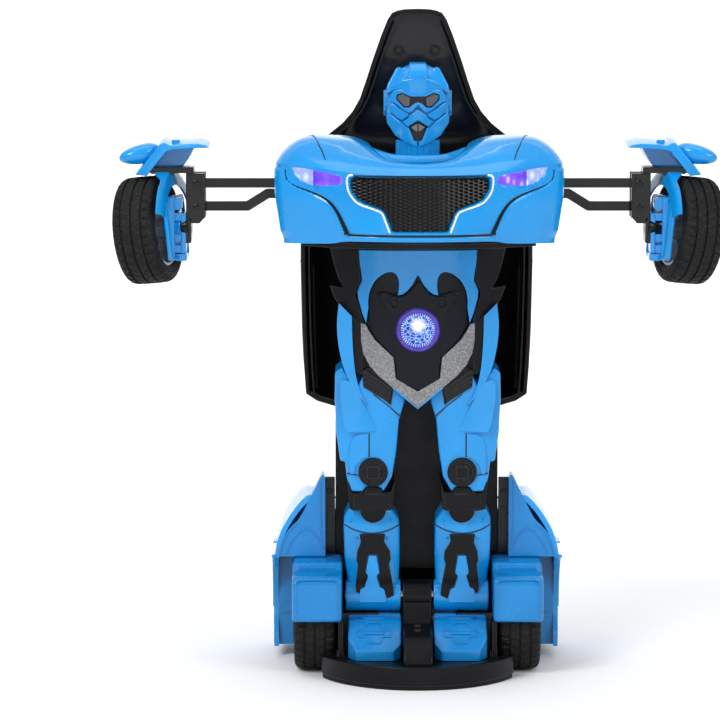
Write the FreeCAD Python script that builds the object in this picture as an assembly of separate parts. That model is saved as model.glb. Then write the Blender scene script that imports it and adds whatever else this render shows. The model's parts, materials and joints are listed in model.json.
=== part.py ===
"""Transforming robot car, standing in its robot form.

Millimetres. +Z is up, the robot faces -Y, and its left hand is at +X.
The origin is on the floor, in the underside of the stand plate, midway between the legs.
The floor is Z = 0.
"""
import FreeCAD
import Part
import math
import os

V = FreeCAD.Vector
X_AXIS = V(1, 0, 0)
Y_AXIS = V(0, 1, 0)
Z_AXIS = V(0, 0, 1)

# Wheels: all four share one size
WHEEL_R = 26.5
RIM_R = 18.4
TYRE_BORE_R = 18.5
TYRE_HALF_W = 10.5
RIM_HALF_W = 9.0
AXLE_R = 2.0
RUNNING = 0.05

# Rear axle, in the base
REAR_WHEEL = V(51.0, -6.0, WHEEL_R)

# Front wheel at the end of the left arm, turned and leaned as it hangs from its knuckle
FRONT_WHEEL = V(133.0, -19.0, 222.5)
TOE_DEG = 15.0
CAMBER_DEG = 6.0

# Ankle shaft: the whole upper body tips forward about it
ANKLE_Y = -10.0
ANKLE_Z = 38.0
SHAFT_R = 2.5
BARREL_R = 8.0

# Nose hinge: the car's front end turns about it
NOSE_Y = -30.0
NOSE_Z = 222.0
PIN_R = 1.5

# Arm linkage: two parallel bars between the shoulder and the knuckle
SHOULDER_X = 34.0
KNUCKLE_X = 108.0
UPPER_Z = 246.0
LOWER_Z = 234.3
UPPER_Y = (-23.0, -19.4)
LOWER_Y = (-18.9, -15.4)
BAR_HALF_H = 2.35
BAR_END_R = 3.2

# Stand
STAND_R = 52.0
STAND_Y = -10.0
STAND_TOP = 11.6
RECESS_R = 46.5
DECK_Z = 10.5
STAND_BACK = -30.0

# Car front end
NOSE_HALF_W = 69.4
NOSE_FRONT = -88.0
NOSE_CORNER = -60.0
NOSE_REAR = -30.0
NOSE_LOW = 219.0
SKIN = 2.6
NOSE_ARCH_R = 30.0
NOSE_ARCH_Y = -41.0
NOSE_ARCH_Z = 233.0

# Back shell (cabin of the car)
CABIN_HALF_W = 58.4
CABIN_FRONT = 21.0
CABIN_BACK = 44.0
CABIN_LOW = 130.0
CABIN_TOP = 330.0
CABIN_WALL = 2.5

# Torso
TORSO_HALF_W = 30.0
TORSO_Y = (-18.0, 12.0)
TORSO_Z = (150.5, 221.0)
NECK_R = 11.0
NECK_Y = -3.0


def box(x, y, z):
    """Box from three (low, high) pairs."""
    return Part.makeBox(x[1] - x[0], y[1] - y[0], z[1] - z[0], V(x[0], y[0], z[0]))


def rod_x(radius, x, y, z):
    """Cylinder along X from x[0] to x[1], centred on (y, z)."""
    return Part.makeCylinder(radius, x[1] - x[0], V(x[0], y, z), X_AXIS)


def rod_y(radius, x, y, z):
    """Cylinder along Y from y[0] to y[1], centred on (x, z)."""
    return Part.makeCylinder(radius, y[1] - y[0], V(x, y[0], z), Y_AXIS)


def rod_z(radius, x, y, z):
    """Cylinder along Z from z[0] to z[1], centred on (x, y)."""
    return Part.makeCylinder(radius, z[1] - z[0], V(x, y, z[0]), Z_AXIS)


def prism(points, direction):
    """Closed outline of vectors swept along a vector."""
    wire = Part.makePolygon(points + [points[0]])
    return Part.Face(wire).extrude(direction)


def plate_xz(outline, y):
    """Outline of (x, z) points, swept from y[0] to y[1]."""
    return prism([V(a, y[0], b) for a, b in outline], V(0, y[1] - y[0], 0))


def plate_yz(outline, x):
    """Outline of (y, z) points, swept from x[0] to x[1]."""
    return prism([V(x[0], a, b) for a, b in outline], V(x[1] - x[0], 0, 0))


def plate_xy(outline, z):
    """Outline of (x, y) points, swept from z[0] to z[1]."""
    return prism([V(a, b, z[0]) for a, b in outline], V(0, 0, z[1] - z[0]))


def symmetric(half):
    """Full outline from the +X half, listed from the top centre down to the bottom centre."""
    other = [(-a, b) for a, b in reversed(half) if a > 0]
    return half + other


def mirrored(shape):
    """The same shape on the -X side."""
    return shape.mirror(V(0, 0, 0), X_AXIS)


def pair(shape):
    """A +X shape and its mirror image, as one group."""
    return Part.makeCompound([shape, mirrored(shape)])


def fuse(shapes):
    """Union of a list of shapes, with its seams removed."""
    return shapes[0].multiFuse(shapes[1:]).removeSplitter()


def steer(shape):
    """Turn a shape of the left front wheel about the wheel's centre: camber, then toe."""
    turned = shape.copy()
    turned.rotate(FRONT_WHEEL, Y_AXIS, CAMBER_DEG)
    turned.rotate(FRONT_WHEEL, Z_AXIS, TOE_DEG)
    return turned


def save(node, shape):
    """Write one node."""
    shape.exportStep("parts/" + node + ".step")


def save_sides(node, left):
    """Write a left node and its mirrored right twin."""
    save(node + "_left", left)
    save(node + "_right", mirrored(left))


# ---------------------------------------------------------------- base

def stand_plate():
    """Half-round stand with a raised rim, and a tongue that runs back under the chassis."""
    front = box((-STAND_R, STAND_R), (STAND_Y - STAND_R, STAND_BACK), (0, STAND_TOP))
    disc = rod_z(STAND_R, 0, STAND_Y, (0, STAND_TOP)).common(front)
    recess = rod_z(RECESS_R, 0, STAND_Y, (DECK_Z, STAND_TOP + 1))
    tongue = box((-36.5, 36.5), (STAND_BACK, 8), (0, 7.8))
    return disc.cut(recess).fuse(tongue)


def chassis_tray():
    """Floor and low walls of the rear of the car, with two rear skids and the battery opening."""
    front_floor = box((-36.5, 36.5), (STAND_BACK, 24), (8, DECK_Z))
    rear_floor = box((-64, 64), (24, 56), (8, DECK_Z))
    rear_wall = box((-64, 64), (53.5, 56), (DECK_Z, 40))
    side = box((61.5, 64), (24, 53.5), (DECK_Z, 40))
    bulkhead = box((38, 61.5), (24, 26), (DECK_Z, 40))
    skid = box((32, 42), (38, 50), (0, 8))
    tray = fuse([front_floor, rear_floor, rear_wall, side, mirrored(side), bulkhead, mirrored(bulkhead),
                 skid, mirrored(skid)])
    return tray.cut(box((-27.2, 27.2), (8.8, 52.2), (7, DECK_Z + 1)))


def ankle_bracket():
    """Centre bearing of the ankle shaft and the strap that runs forward between the feet."""
    strap = plate_yz([(-55, DECK_Z), (-55, 13), (-53, 17), (-47, 23), (-43, 25), (-20, 25), (-18, 34),
                      (-2, 34), (-2, DECK_Z)], (-7.2, 7.2))
    bearing = rod_x(BARREL_R, (-7.2, 7.2), ANKLE_Y, ANKLE_Z)
    riser = box((-7.2, 7.2), (ANKLE_Y - BARREL_R, ANKLE_Y + BARREL_R), (30, ANKLE_Z))
    bore = rod_x(SHAFT_R + RUNNING, (-8, 8), ANKLE_Y, ANKLE_Z)
    return fuse([strap, riser, bearing]).cut(bore)


def foot():
    """Left foot block, sloping down to the toe."""
    side = [(-41, DECK_Z), (-41, 15), (-39, 17), (-25, 28.5), (-19, 28.5), (-19, DECK_Z)]
    block = plate_yz(side, (8.2, 34.5))
    outline = [(8.2, -18), (34.5, -18), (34.5, -34), (30, -41), (12, -41), (8.2, -37)]
    return block.common(plate_xy(outline, (0, 40)))


def wheel_cover():
    """Left splash cover in front of and above the rear wheel."""
    outline = [(-37, 29), (-37, 48), (-33.5, 52), (-19, 52), (-17, 55.8), (6, 55.8), (6, 40), (-20, 29)]
    block = plate_yz(outline, (37.4, 62.2))
    clearance = rod_x(WHEEL_R + 0.8, (40.0, 63), REAR_WHEEL.y, REAR_WHEEL.z)
    axle_hole = rod_x(4.0, (37, 41), REAR_WHEEL.y, REAR_WHEEL.z)
    return block.cut(clearance).cut(axle_hole)


def rear_fender():
    """Left rear quarter of the car: side wall, rounded haunch and the pillar at its front."""
    outer = [(72.5, 6), (72.3, 48), (70.8, 61), (67.7, 71), (62.5, 79), (55.4, 87.6), (50.6, 86)]
    inner = [(50.6, 83), (54.6, 84.9), (60.7, 77.2), (65.4, 69.6), (68.2, 60), (69.7, 47), (69.9, 6)]
    band = plate_xz(outer + inner, (-4, 62.5))
    side = [(-4, 6), (24, 6), (54, 6), (60, 14), (62.5, 40), (60, 66), (52, 78), (40, 86), (20, 88), (-4, 88)]
    pillar = plate_xz([(45.8, 56.2), (45.8, 96), (47.2, 97), (59, 75.5), (66, 69), (70, 60), (70, 56.2)], (-4, 8))
    arch = rod_x(29.5, (40, 80), REAR_WHEEL.y, REAR_WHEEL.z)
    front_gap = box((60, 80), (-10, 20), (0, 30))
    return band.common(plate_yz(side, (40, 80))).fuse(pillar).cut(arch).cut(front_gap)


def rear_deck():
    """Boot lid between the haunches, with the tail panel below it."""
    lid = box((-50.2, 50.2), (20, 57), (75, 77.5))
    rail = box((48, 50.2), (20, 57), (77.5, 84))
    tail = plate_xz(symmetric([(0, 77.5), (60, 77.0), (65, 69), (67.6, 60), (69.2, 47), (69.4, 30), (0, 30)]),
                    (57, 59.5))
    return fuse([lid, rail, mirrored(rail), tail])


def tail_light():
    """Left rear lamp on the tail panel."""
    return plate_xz([(34, 68), (58, 70), (62, 64), (60, 60), (36, 62)], (59.5, 61.5))


def rear_bumper():
    """Black lower rear bumper with a slot for the power switch."""
    body = plate_yz([(56.2, 8), (60, 10), (61.5, 16), (61.5, 29.5), (56.2, 29.5)], (-66, 66))
    return body.cut(box((30.7, 39.3), (56, 62), (16.2, 19.8)))


def power_switch():
    """Slide switch knob in the rear bumper."""
    return box((31, 35), (57, 63.2), (16.6, 19.4))


def battery_cells():
    """Three AA cells side by side."""
    return Part.makeCompound([rod_x(7.1, (-25.2, 25.2), y, 18.0) for y in (15.5, 30.5, 45.5)])


def battery_door():
    """Cover of the battery bay in the chassis floor."""
    door = box((-27, 27), (9, 52), (8, DECK_Z))
    return door.cut(rod_z(2.2, 0, 48, (7, 9.2)))


def drive_gearbox():
    """Left drive gearbox, its outlet bored for the wheel axle."""
    case = box((20, 36.8), (-16, 4), (DECK_Z, 29.6))
    motor = rod_x(6.5, (9, 20), -6, 20)
    return case.fuse(motor).cut(rod_x(AXLE_R + RUNNING, (22, 40), REAR_WHEEL.y, REAR_WHEEL.z))


# -------------------------------------------------------------- wheels

def tyre(centre):
    """Tyre with rounded shoulders and three tread grooves."""
    x = (centre.x - TYRE_HALF_W, centre.x + TYRE_HALF_W)
    ring = rod_x(WHEEL_R, x, centre.y, centre.z)
    rims = [edge for edge in ring.Edges if edge.Curve.TypeId == "Part::GeomCircle"]
    ring = ring.makeFillet(2.5, rims)
    ring = ring.cut(rod_x(TYRE_BORE_R, (x[0] - 1, x[1] + 1), centre.y, centre.z))
    for offset in (-5.2, 0.0, 5.2):
        lane = (centre.x + offset - 0.6, centre.x + offset + 0.6)
        outer = rod_x(WHEEL_R + 1, lane, centre.y, centre.z)
        ring = ring.cut(outer.cut(rod_x(WHEEL_R - 1.0, lane, centre.y, centre.z)))
    return ring


def rim(centre):
    """Five-window wheel: barrel, face disc and hub."""
    x = centre.x
    barrel = rod_x(RIM_R, (x - RIM_HALF_W, x + RIM_HALF_W), centre.y, centre.z)
    barrel = barrel.cut(rod_x(16.4, (x - RIM_HALF_W - 1, x + 3.0), centre.y, centre.z))
    barrel = barrel.cut(rod_x(16.4, (x + 6.0, x + RIM_HALF_W + 1), centre.y, centre.z))
    for step in range(5):
        angle = math.radians(72.0 * step + 90.0)
        y = centre.y + 10.6 * math.cos(angle)
        z = centre.z + 10.6 * math.sin(angle)
        barrel = barrel.cut(rod_x(4.2, (x, x + 10), y, z))
    return barrel.fuse(rod_x(5.0, (x - RIM_HALF_W, x + 6.5), centre.y, centre.z))


def front_rim():
    """Front wheel, free on its axle pin."""
    bore = rod_x(AXLE_R + RUNNING, (FRONT_WHEEL.x - 12, FRONT_WHEEL.x + 5), FRONT_WHEEL.y, FRONT_WHEEL.z)
    return steer(rim(FRONT_WHEEL).cut(bore))


def rear_rim():
    """Driven wheel, and the axle fixed in its hub, which reaches into the gearbox."""
    axle = rod_x(AXLE_R, (24, REAR_WHEEL.x + 6.5), REAR_WHEEL.y, REAR_WHEEL.z)
    return Part.makeCompound([rim(REAR_WHEEL).cut(axle), axle])


# ---------------------------------------------------------------- legs

def shin():
    """Left shin with the ankle barrel at its foot."""
    outline = [(10.5, 38), (10, 46), (8, 60), (7.6, 75), (9.5, 82.5), (34, 82.5), (36.4, 75), (34.5, 60),
               (32, 46), (31.5, 38)]
    body = plate_xz(outline, (-16.5, TORSO_Y[1]))
    barrel = rod_x(BARREL_R, (8, 36), ANKLE_Y, ANKLE_Z)
    bore = rod_x(SHAFT_R + RUNNING, (7, 37), ANKLE_Y, ANKLE_Z)
    return body.fuse(barrel).cut(bore)


def shin_trim():
    """Left A-shaped shin guard."""
    outline = [(12.2, 45), (13.5, 58), (16, 66), (17.5, 79), (26.5, 79), (28, 66), (30.5, 58), (31.5, 45),
               (27, 45), (26, 58), (24, 68), (20, 68), (18, 58), (16.5, 45)]
    return plate_xz(outline, (-18.2, -16.5))


def knee_clamp():
    """Left knee clamp with the round knee cap above it."""
    clamp = box((11, 34.2), (-18, TORSO_Y[1]), (82.7, 97))
    cap = rod_y(7.0, 22.1, (-23.4, -21.1), 102)
    tab = box((19, 25), (-23.4, -21.1), (84, 97))
    bridge = box((19, 25), (-21.1, -17), (84, 96.8))
    return fuse([clamp, cap, tab, bridge])


def thigh():
    """Left thigh block."""
    outline = [(12.5, 97.2), (11.6, 99), (8.4, 122), (5.7, 137), (5.7, 150), (38.5, 150), (40.9, 147),
               (40.4, 136), (37.7, 105.6), (34, 97.2)]
    return plate_xz(outline, (-21, TORSO_Y[1]))


def spine_plate():
    """Flat back of the legs and torso, with the two rails that guide the back shell."""
    lower = box((-41, 41), (TORSO_Y[1], 15.5), (48, 150))
    upper = box((-TORSO_HALF_W, TORSO_HALF_W), (TORSO_Y[1], 15.5), (150, TORSO_Z[1]))
    rail = box((18, 21), (15.5, 20.4), (118, TORSO_Z[1]))
    return fuse([lower, upper, rail, mirrored(rail)])


# --------------------------------------------------------------- torso

def torso_shell():
    """Hollow torso case, open at the top for the neck."""
    x = (-TORSO_HALF_W, TORSO_HALF_W)
    wall = 2.4
    case = box(x, TORSO_Y, TORSO_Z)
    room = box((x[0] + wall, x[1] - wall), (TORSO_Y[0] + wall, TORSO_Y[1] - wall), (153, TORSO_Z[1] + 1))
    return case.cut(room)


def fold_motor():
    """Motor and gearbox that drive the fold, on the floor of the torso."""
    return box((-24, -12.5), (-12, 6), (153, 190)).fuse(rod_z(5.5, -18, -3, (190, 208)))


def waist_strip():
    """Left strip at the side of the waist."""
    outline = [(38.5, 186), (37.3, 170), (35.5, 150.3), (30.2, 150.3), (30.2, 178)]
    return plate_xz(outline, (-20, -8))


def shoulder_wing():
    """Left pointed wing at the side of the chest."""
    outline = [(30.2, 213), (43, 213.5), (36.5, 193.8), (42.5, 194.5), (38.6, 187), (30.2, 179.5)]
    return plate_xz(outline, (-19, -13))


def chest_plate():
    """Upper chest panel, arched over the shield."""
    half = [(0, 213), (29.8, 213), (27.5, 198), (30, 190), (24.8, 177.5), (23, 186), (20, 194), (14.5, 200),
            (10.5, 200), (9, 190.5), (5, 193), (0, 199)]
    return plate_xz(symmetric(half), (-24.5, -21.2))


def chest_shield():
    """Dark shield that carries the lamp."""
    half = [(0, 206), (24.5, 206), (27.8, 176), (26, 160), (20, 150.6), (0, 150.6)]
    return plate_xz(symmetric(half), (-21.1, TORSO_Y[0]))


def chest_chevron():
    """Silver V below the lamp."""
    half = [(0, 143.5), (10.5, 151.5), (11.5, 161), (20, 171), (25.5, 176.8), (28.2, 176.5), (27, 165),
            (23, 156.5), (0, 134.5)]
    return plate_xz(symmetric(half), (-23.6, -21.2))


def chest_bezel():
    """Ring around the chest lamp."""
    ring = rod_y(10.9, 0, (-25.2, -21.2), 173.4)
    return ring.cut(rod_y(9.2, 0, (-26, -22.6), 173.4))


def chest_lens():
    """Round chest lamp lens."""
    ball = Part.makeSphere(12.0, V(0, -16.0, 173.4))
    return rod_y(9.1, 0, (-28.5, -22.6), 173.4).common(ball)


def shoulder_beam():
    """Cross beam over the torso: neck guide, nose hinge lugs and the shoulder clevises."""
    beam = box((-30.2, 30.2), (-26, 4), (TORSO_Z[1], 226))
    guide = rod_z(NECK_R + 1.3, 0, NECK_Y, (TORSO_Z[1] - 8, 226))
    web = box((26, 30.2), (-26.8, -12), (222, 250.5))
    front_ear = box((30.2, 38), (-26.8, UPPER_Y[0] - 0.4), (222, 250.5))
    rear_ear = box((30.2, 38), (LOWER_Y[1] + 0.4, -12), (222, 250.5))
    lug = rod_x(3.8, (14, 20.6), NOSE_Y, NOSE_Z)
    lug_arm = box((14, 20.6), (NOSE_Y, -24), (218.5, 225.5))
    left = [web, front_ear, rear_ear, lug, lug_arm]
    solid = fuse([beam, guide] + left + [mirrored(piece) for piece in left])
    solid = solid.cut(rod_z(NECK_R + RUNNING, 0, NECK_Y, (200, 240)))
    solid = solid.cut(box((20.7, 25.9), (-40, -25.2), (210, 240)))
    solid = solid.cut(box((-25.9, -20.7), (-40, -25.2), (210, 240)))
    for bore in pivot_pin_shapes(RUNNING):
        solid = solid.cut(bore)
    return solid


def pivot_pin_shapes(extra):
    """Nose hinge pin and the four shoulder pins, made larger by extra for their bores."""
    nose = rod_x(PIN_R + extra, (-25.6, 25.6), NOSE_Y, NOSE_Z)
    pins = [nose]
    for z in (UPPER_Z, LOWER_Z):
        pin = rod_y(PIN_R + extra, SHOULDER_X, (-26.8, -12), z)
        pins += [pin, mirrored(pin)]
    return pins


# ---------------------------------------------------------------- head

def head_shell():
    """Helmet block on the round neck that slides in the guide."""
    half = [(0, 304.5), (7, 304), (13, 299), (16, 290), (16.6, 281), (14, 272), (9, 264), (0, 263)]
    helmet = plate_xz(symmetric(half), (-11, 13.5))
    return helmet.fuse(rod_z(NECK_R, 0, NECK_Y, (205, 264)))


def face_mask():
    """Face mask and visor at the front of the helmet."""
    half = [(0, 294), (8, 292), (10, 284), (8, 272), (3, 266), (0, 265)]
    return plate_xz(symmetric(half), (-14, -11.1))


# ---------------------------------------------------------------- nose

def nose_volume(inset, low):
    """Bowed block of the car's front end, inset from its skin and starting at height low."""
    half_w = NOSE_HALF_W - inset
    front = NOSE_FRONT + inset
    corner = NOSE_CORNER + inset
    bow = Part.Arc(V(-half_w, corner, low), V(0, front, low), V(half_w, corner, low)).toShape()
    right = Part.makeLine(V(half_w, corner, low), V(half_w, NOSE_REAR + inset, low))
    back = Part.makeLine(V(half_w, NOSE_REAR + inset, low), V(-half_w, NOSE_REAR + inset, low))
    left = Part.makeLine(V(-half_w, NOSE_REAR + inset, low), V(-half_w, corner, low))
    block = Part.Face(Part.Wire([bow, right, back, left])).extrude(V(0, 0, 80))
    side = [(-95, low), (-95, 250 - inset), (NOSE_FRONT, 252 - inset), (-78, 257 - inset),
            (NOSE_REAR + 5, 272 - inset), (NOSE_REAR + 5, low)]
    section = symmetric([(0, 262 - inset), (28, 262.5 - inset), (54, 271 - inset), (62, 269 - inset),
                         (70, 258 - inset), (70, low), (0, low)])
    return block.common(plate_yz(side, (-75, 75))).common(plate_xz(section, (-95, -20)))


def nose_skin():
    """Closed-top, open-bottomed and open-backed shell of the front end, with its wheel arches."""
    inner_w = NOSE_HALF_W - SKIN
    back_opening = box((-inner_w, inner_w), (NOSE_REAR - 8, NOSE_REAR + 5), (NOSE_LOW - 5, 254))
    skin = nose_volume(0, NOSE_LOW).cut(nose_volume(SKIN, NOSE_LOW - 5)).cut(back_opening)
    side = box((62, 75), (-60, -20), (200, 300))
    arch = rod_x(NOSE_ARCH_R, (62, 75), NOSE_ARCH_Y, NOSE_ARCH_Z).common(side)
    behind_arch = box((62, 75), (-52, -20), (200, 258))
    for cutter in (arch, behind_arch):
        skin = skin.cut(cutter).cut(mirrored(cutter))
    return skin


def hood_split():
    """Everything of the front end that belongs to the hood."""
    return plate_yz([(-95, 254), (-20, 256), (-20, 290), (-95, 290)], (-80, 80))


GRILLE = symmetric([(0, 252), (33, 251), (36, 245), (26, 229), (0, 228)])
HEADLIGHT = [(37, 243.5), (39, 249), (60, 251.5), (63, 249), (52, 243)]


def fascia():
    """Front bumper with openings for the grille and the headlights."""
    skin = nose_skin().cut(hood_split())
    skin = skin.cut(plate_xz(GRILLE, (-95, -70)))
    lamp = plate_xz(HEADLIGHT, (-95, -55))
    return skin.cut(lamp).cut(mirrored(lamp))


def hood():
    """Hood with the opening that the neck stands in."""
    slot = plate_xy([(-24, -25), (24, -25), (18, -80), (-18, -80)], (240, 300))
    return nose_skin().common(hood_split()).cut(slot)


def bowed_sheet(depth, thick):
    """Sheet parallel to the bowed front, depth behind it."""
    return nose_volume(depth, 200).cut(nose_volume(depth + thick, 195))


def grille():
    """Grille panel set into the bumper."""
    return bowed_sheet(0.8, 1.8).common(plate_xz([(a * 0.995, b) for a, b in GRILLE], (-95, -70)))


def headlight():
    """Left headlight lens."""
    return bowed_sheet(0.5, 1.6).common(plate_xz(HEADLIGHT, (-95, -55)))


def nose_floor():
    """Tray under the front end with the two hinge arms that run back to the torso."""
    tray = nose_volume(SKIN + 0.1, NOSE_LOW).common(box((-56, 56), (-90, -62), (NOSE_LOW, NOSE_LOW + 2.4)))
    arm = box((21, 25.5), (-64, NOSE_Y), (NOSE_Z - 3.0, NOSE_Z + 2.4))
    eye = rod_x(3.8, (21, 25.5), NOSE_Y, NOSE_Z)
    solid = fuse([tray, arm, mirrored(arm), eye, mirrored(eye)])
    return solid.cut(rod_x(PIN_R + RUNNING, (-30, 30), NOSE_Y, NOSE_Z))


# ---------------------------------------------------------- back shell

CABIN_HALF = [(10, 329.5), (14, 326), (22.4, 304), (29, 284.5), (38, 272), (50, 262.5),
              (CABIN_HALF_W, 255), (CABIN_HALF_W, 200), (56, 136)]


def cabin_volume(inset, low):
    """Solid shape of the cabin, inset from its skin at the back, top and sides, starting at height low."""
    top = CABIN_TOP - inset
    half = [(0, top)] + [(a - inset, min(b, top)) for a, b in CABIN_HALF] + [(40 - inset, low), (0, low)]
    front = CABIN_FRONT - inset
    back = CABIN_BACK - inset
    side = [(front, low), (front, CABIN_TOP + 1), (25 - inset, CABIN_TOP + 1), (28 - inset, 264),
            (36 - inset, 240), (back, 212), (back, 160), (42 - inset, low)]
    return plate_xz(symmetric(half), (10, 60)).common(plate_yz(side, (-70, 70)))


def cabin_shell():
    """Back shell with the block that runs between the spine's rails."""
    shell = cabin_volume(0, CABIN_LOW).cut(cabin_volume(CABIN_WALL, CABIN_LOW - 10))
    carriage = box((-17.6, 17.6), (16.2, CABIN_BACK - 2), (196, 216))
    pocket = box((-14.6, 14.6), (18.6, CABIN_BACK - 2), (198.5, 213.5))
    return shell.fuse(carriage.cut(pocket))


# ---------------------------------------------------------------- arms

def bar(points, y):
    """Flat link bar along a path of (x, z) points, with round ends bored for the pins."""
    pieces = []
    for (xa, za), (xb, zb) in zip(points, points[1:]):
        length = math.hypot(xb - xa, zb - za)
        dx = -(zb - za) / length * BAR_HALF_H
        dz = (xb - xa) / length * BAR_HALF_H
        pieces.append(plate_xz([(xa + dx, za + dz), (xb + dx, zb + dz), (xb - dx, zb - dz), (xa - dx, za - dz)], y))
    for x, z in points[1:-1]:
        pieces.append(rod_y(BAR_HALF_H, x, y, z))
    for x, z in (points[0], points[-1]):
        pieces.append(rod_y(BAR_END_R, x, y, z))
    solid = fuse(pieces)
    for x, z in (points[0], points[-1]):
        solid = solid.cut(rod_y(PIN_R + RUNNING, x, (y[0] - 1, y[1] + 1), z))
    return solid


def upper_bar():
    """Straight upper link of the left arm."""
    return bar([(SHOULDER_X, UPPER_Z), (KNUCKLE_X, UPPER_Z)], UPPER_Y)


def lower_bar():
    """Lower link of the left arm, stepped up towards the shoulder."""
    step = 6.2
    path = [(SHOULDER_X, LOWER_Z), (SHOULDER_X + 16, LOWER_Z), (SHOULDER_X + 24, LOWER_Z + step),
            (74, LOWER_Z + step), (84, LOWER_Z), (KNUCKLE_X, LOWER_Z)]
    return bar(path, LOWER_Y)


def knuckle():
    """Left knuckle: clevis for the two bars, top flange, hub and fixed axle pin."""
    x = (KNUCKLE_X - 3.5, 114)
    front_ear = box(x, (-26.4, UPPER_Y[0] - 0.4), (229, 251))
    rear_ear = box(x, (LOWER_Y[1] + 0.4, -12.4), (229, 251))
    web = box((111.8, 114), (-26.4, -12.4), (217, 254))
    flange = box((110, 128), (-26.4, -12.4), (251, 254))
    hub = rod_x(4.5, (FRONT_WHEEL.x - 21.5, FRONT_WHEEL.x - 11.6), FRONT_WHEEL.y, FRONT_WHEEL.z)
    axle = rod_x(AXLE_R, (FRONT_WHEEL.x - 14, FRONT_WHEEL.x + 4.5), FRONT_WHEEL.y, FRONT_WHEEL.z)
    pins = [rod_y(PIN_R, KNUCKLE_X, (-26.4, -12.4), z) for z in (UPPER_Z, LOWER_Z)]
    return fuse([web, flange, front_ear, rear_ear, steer(hub), steer(axle)] + pins)


def brake_cover():
    """Left blue cover plate on the inner side of the front wheel."""
    x = (FRONT_WHEEL.x - 14.2, FRONT_WHEEL.x - 11.8)
    plate = box(x, (FRONT_WHEEL.y - 15, FRONT_WHEEL.y + 15), (FRONT_WHEEL.z - 16.5, FRONT_WHEEL.z + 16.5))
    hole = rod_x(4.7, (x[0] - 1, x[1] + 1), FRONT_WHEEL.y, FRONT_WHEEL.z)
    return steer(plate.cut(hole))


def side_panel():
    """Left fender blade above the wheel, with the door mirror."""
    blade = plate_xz([(139, 251.8), (126, 267.5), (103, 267.6), (103, 265.6), (121, 264), (131, 251.8)], (-30, 12))
    post = box((119, 125), (-24, -14), (254, 264))
    mirror = plate_xz([(131, 257), (140, 255), (146, 257), (147.6, 260), (145, 263.5), (136, 265.2), (129, 264)],
                      (-27, -11))
    return fuse([blade, post, mirror])


def build():
    """Write every node."""
    os.makedirs("parts", exist_ok=True)
    save("stand_plate", stand_plate())
    save("chassis_tray", chassis_tray())
    save("ankle_bracket", ankle_bracket())
    save("ankle_shaft", rod_x(SHAFT_R, (-36, 36), ANKLE_Y, ANKLE_Z))
    save("feet", pair(foot()))
    save("wheel_covers", pair(wheel_cover()))
    save_sides("rear_fender", rear_fender())
    save("rear_deck", rear_deck())
    save("tail_lights", pair(tail_light()))
    save("rear_bumper", rear_bumper())
    save("power_switch", power_switch())
    save("battery_cells", battery_cells())
    save("battery_door", battery_door())
    save("main_board", box((30, 58), (29, 50), (DECK_Z + 1.5, DECK_Z + 3.1)))
    save("drive_gearboxes", pair(drive_gearbox()))
    save_sides("rear_tyre", tyre(REAR_WHEEL))
    save_sides("rear_rim", rear_rim())
    save_sides("shin", shin())
    save("shin_trims", pair(shin_trim()))
    save("knee_clamps", pair(knee_clamp()))
    save_sides("thigh", thigh())
    save("spine_plate", spine_plate())
    save("torso_shell", torso_shell())
    save("fold_motor", fold_motor())
    save("waist_strips", pair(waist_strip()))
    save("shoulder_wings", pair(shoulder_wing()))
    save("chest_plate", chest_plate())
    save("chest_shield", chest_shield())
    save("chest_chevron", chest_chevron())
    save("chest_bezel", chest_bezel())
    save("chest_lens", chest_lens())
    save("shoulder_beam", shoulder_beam())
    save("pivot_pins", Part.makeCompound(pivot_pin_shapes(0)))
    save("head_shell", head_shell())
    save("face_mask", face_mask())
    save("fascia", fascia())
    save("hood", hood())
    save("grille", grille())
    save("headlights", pair(headlight()))
    save("nose_floor", nose_floor())
    save("cabin_shell", cabin_shell())
    save_sides("upper_bar", upper_bar())
    save_sides("lower_bar", lower_bar())
    save_sides("knuckle", knuckle())
    save_sides("brake_cover", brake_cover())
    save_sides("side_panel", side_panel())
    save_sides("front_tyre", steer(tyre(FRONT_WHEEL)))
    save_sides("front_rim", front_rim())


build()
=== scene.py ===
import json
import math

import bmesh
import bpy
from mathutils import Matrix, Vector


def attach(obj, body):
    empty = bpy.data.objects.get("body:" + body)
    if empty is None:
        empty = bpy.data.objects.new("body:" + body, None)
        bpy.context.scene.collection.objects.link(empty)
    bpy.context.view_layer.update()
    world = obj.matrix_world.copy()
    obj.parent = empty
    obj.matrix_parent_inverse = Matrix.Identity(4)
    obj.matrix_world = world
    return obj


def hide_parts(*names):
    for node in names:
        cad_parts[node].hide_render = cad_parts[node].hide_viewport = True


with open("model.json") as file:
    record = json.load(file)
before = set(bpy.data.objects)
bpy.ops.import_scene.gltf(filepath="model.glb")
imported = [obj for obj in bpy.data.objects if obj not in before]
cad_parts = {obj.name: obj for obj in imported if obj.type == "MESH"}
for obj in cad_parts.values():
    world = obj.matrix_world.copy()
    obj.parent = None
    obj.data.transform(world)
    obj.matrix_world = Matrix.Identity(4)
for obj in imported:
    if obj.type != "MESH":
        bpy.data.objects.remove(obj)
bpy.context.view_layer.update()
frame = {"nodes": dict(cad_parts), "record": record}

# Lengths below are in millimetres unless a name says otherwise; meshes are scaled on creation.
MM = 0.001


# ------------------------------------------------------------------ curves

def lerp(a, b, t):
    """Value between a and b."""
    return a + (b - a) * t


def ease(t):
    """Smooth 0 to 1 step, clamped."""
    t = min(1.0, max(0.0, t))
    return t * t * (3 - 2 * t)


def table(points, x):
    """Piecewise linear value at x through sorted (x, value) pairs."""
    if x <= points[0][0]:
        return points[0][1]
    for (xa, va), (xb, vb) in zip(points, points[1:]):
        if x <= xb:
            return lerp(va, vb, (x - xa) / (xb - xa))
    return points[-1][1]


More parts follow.
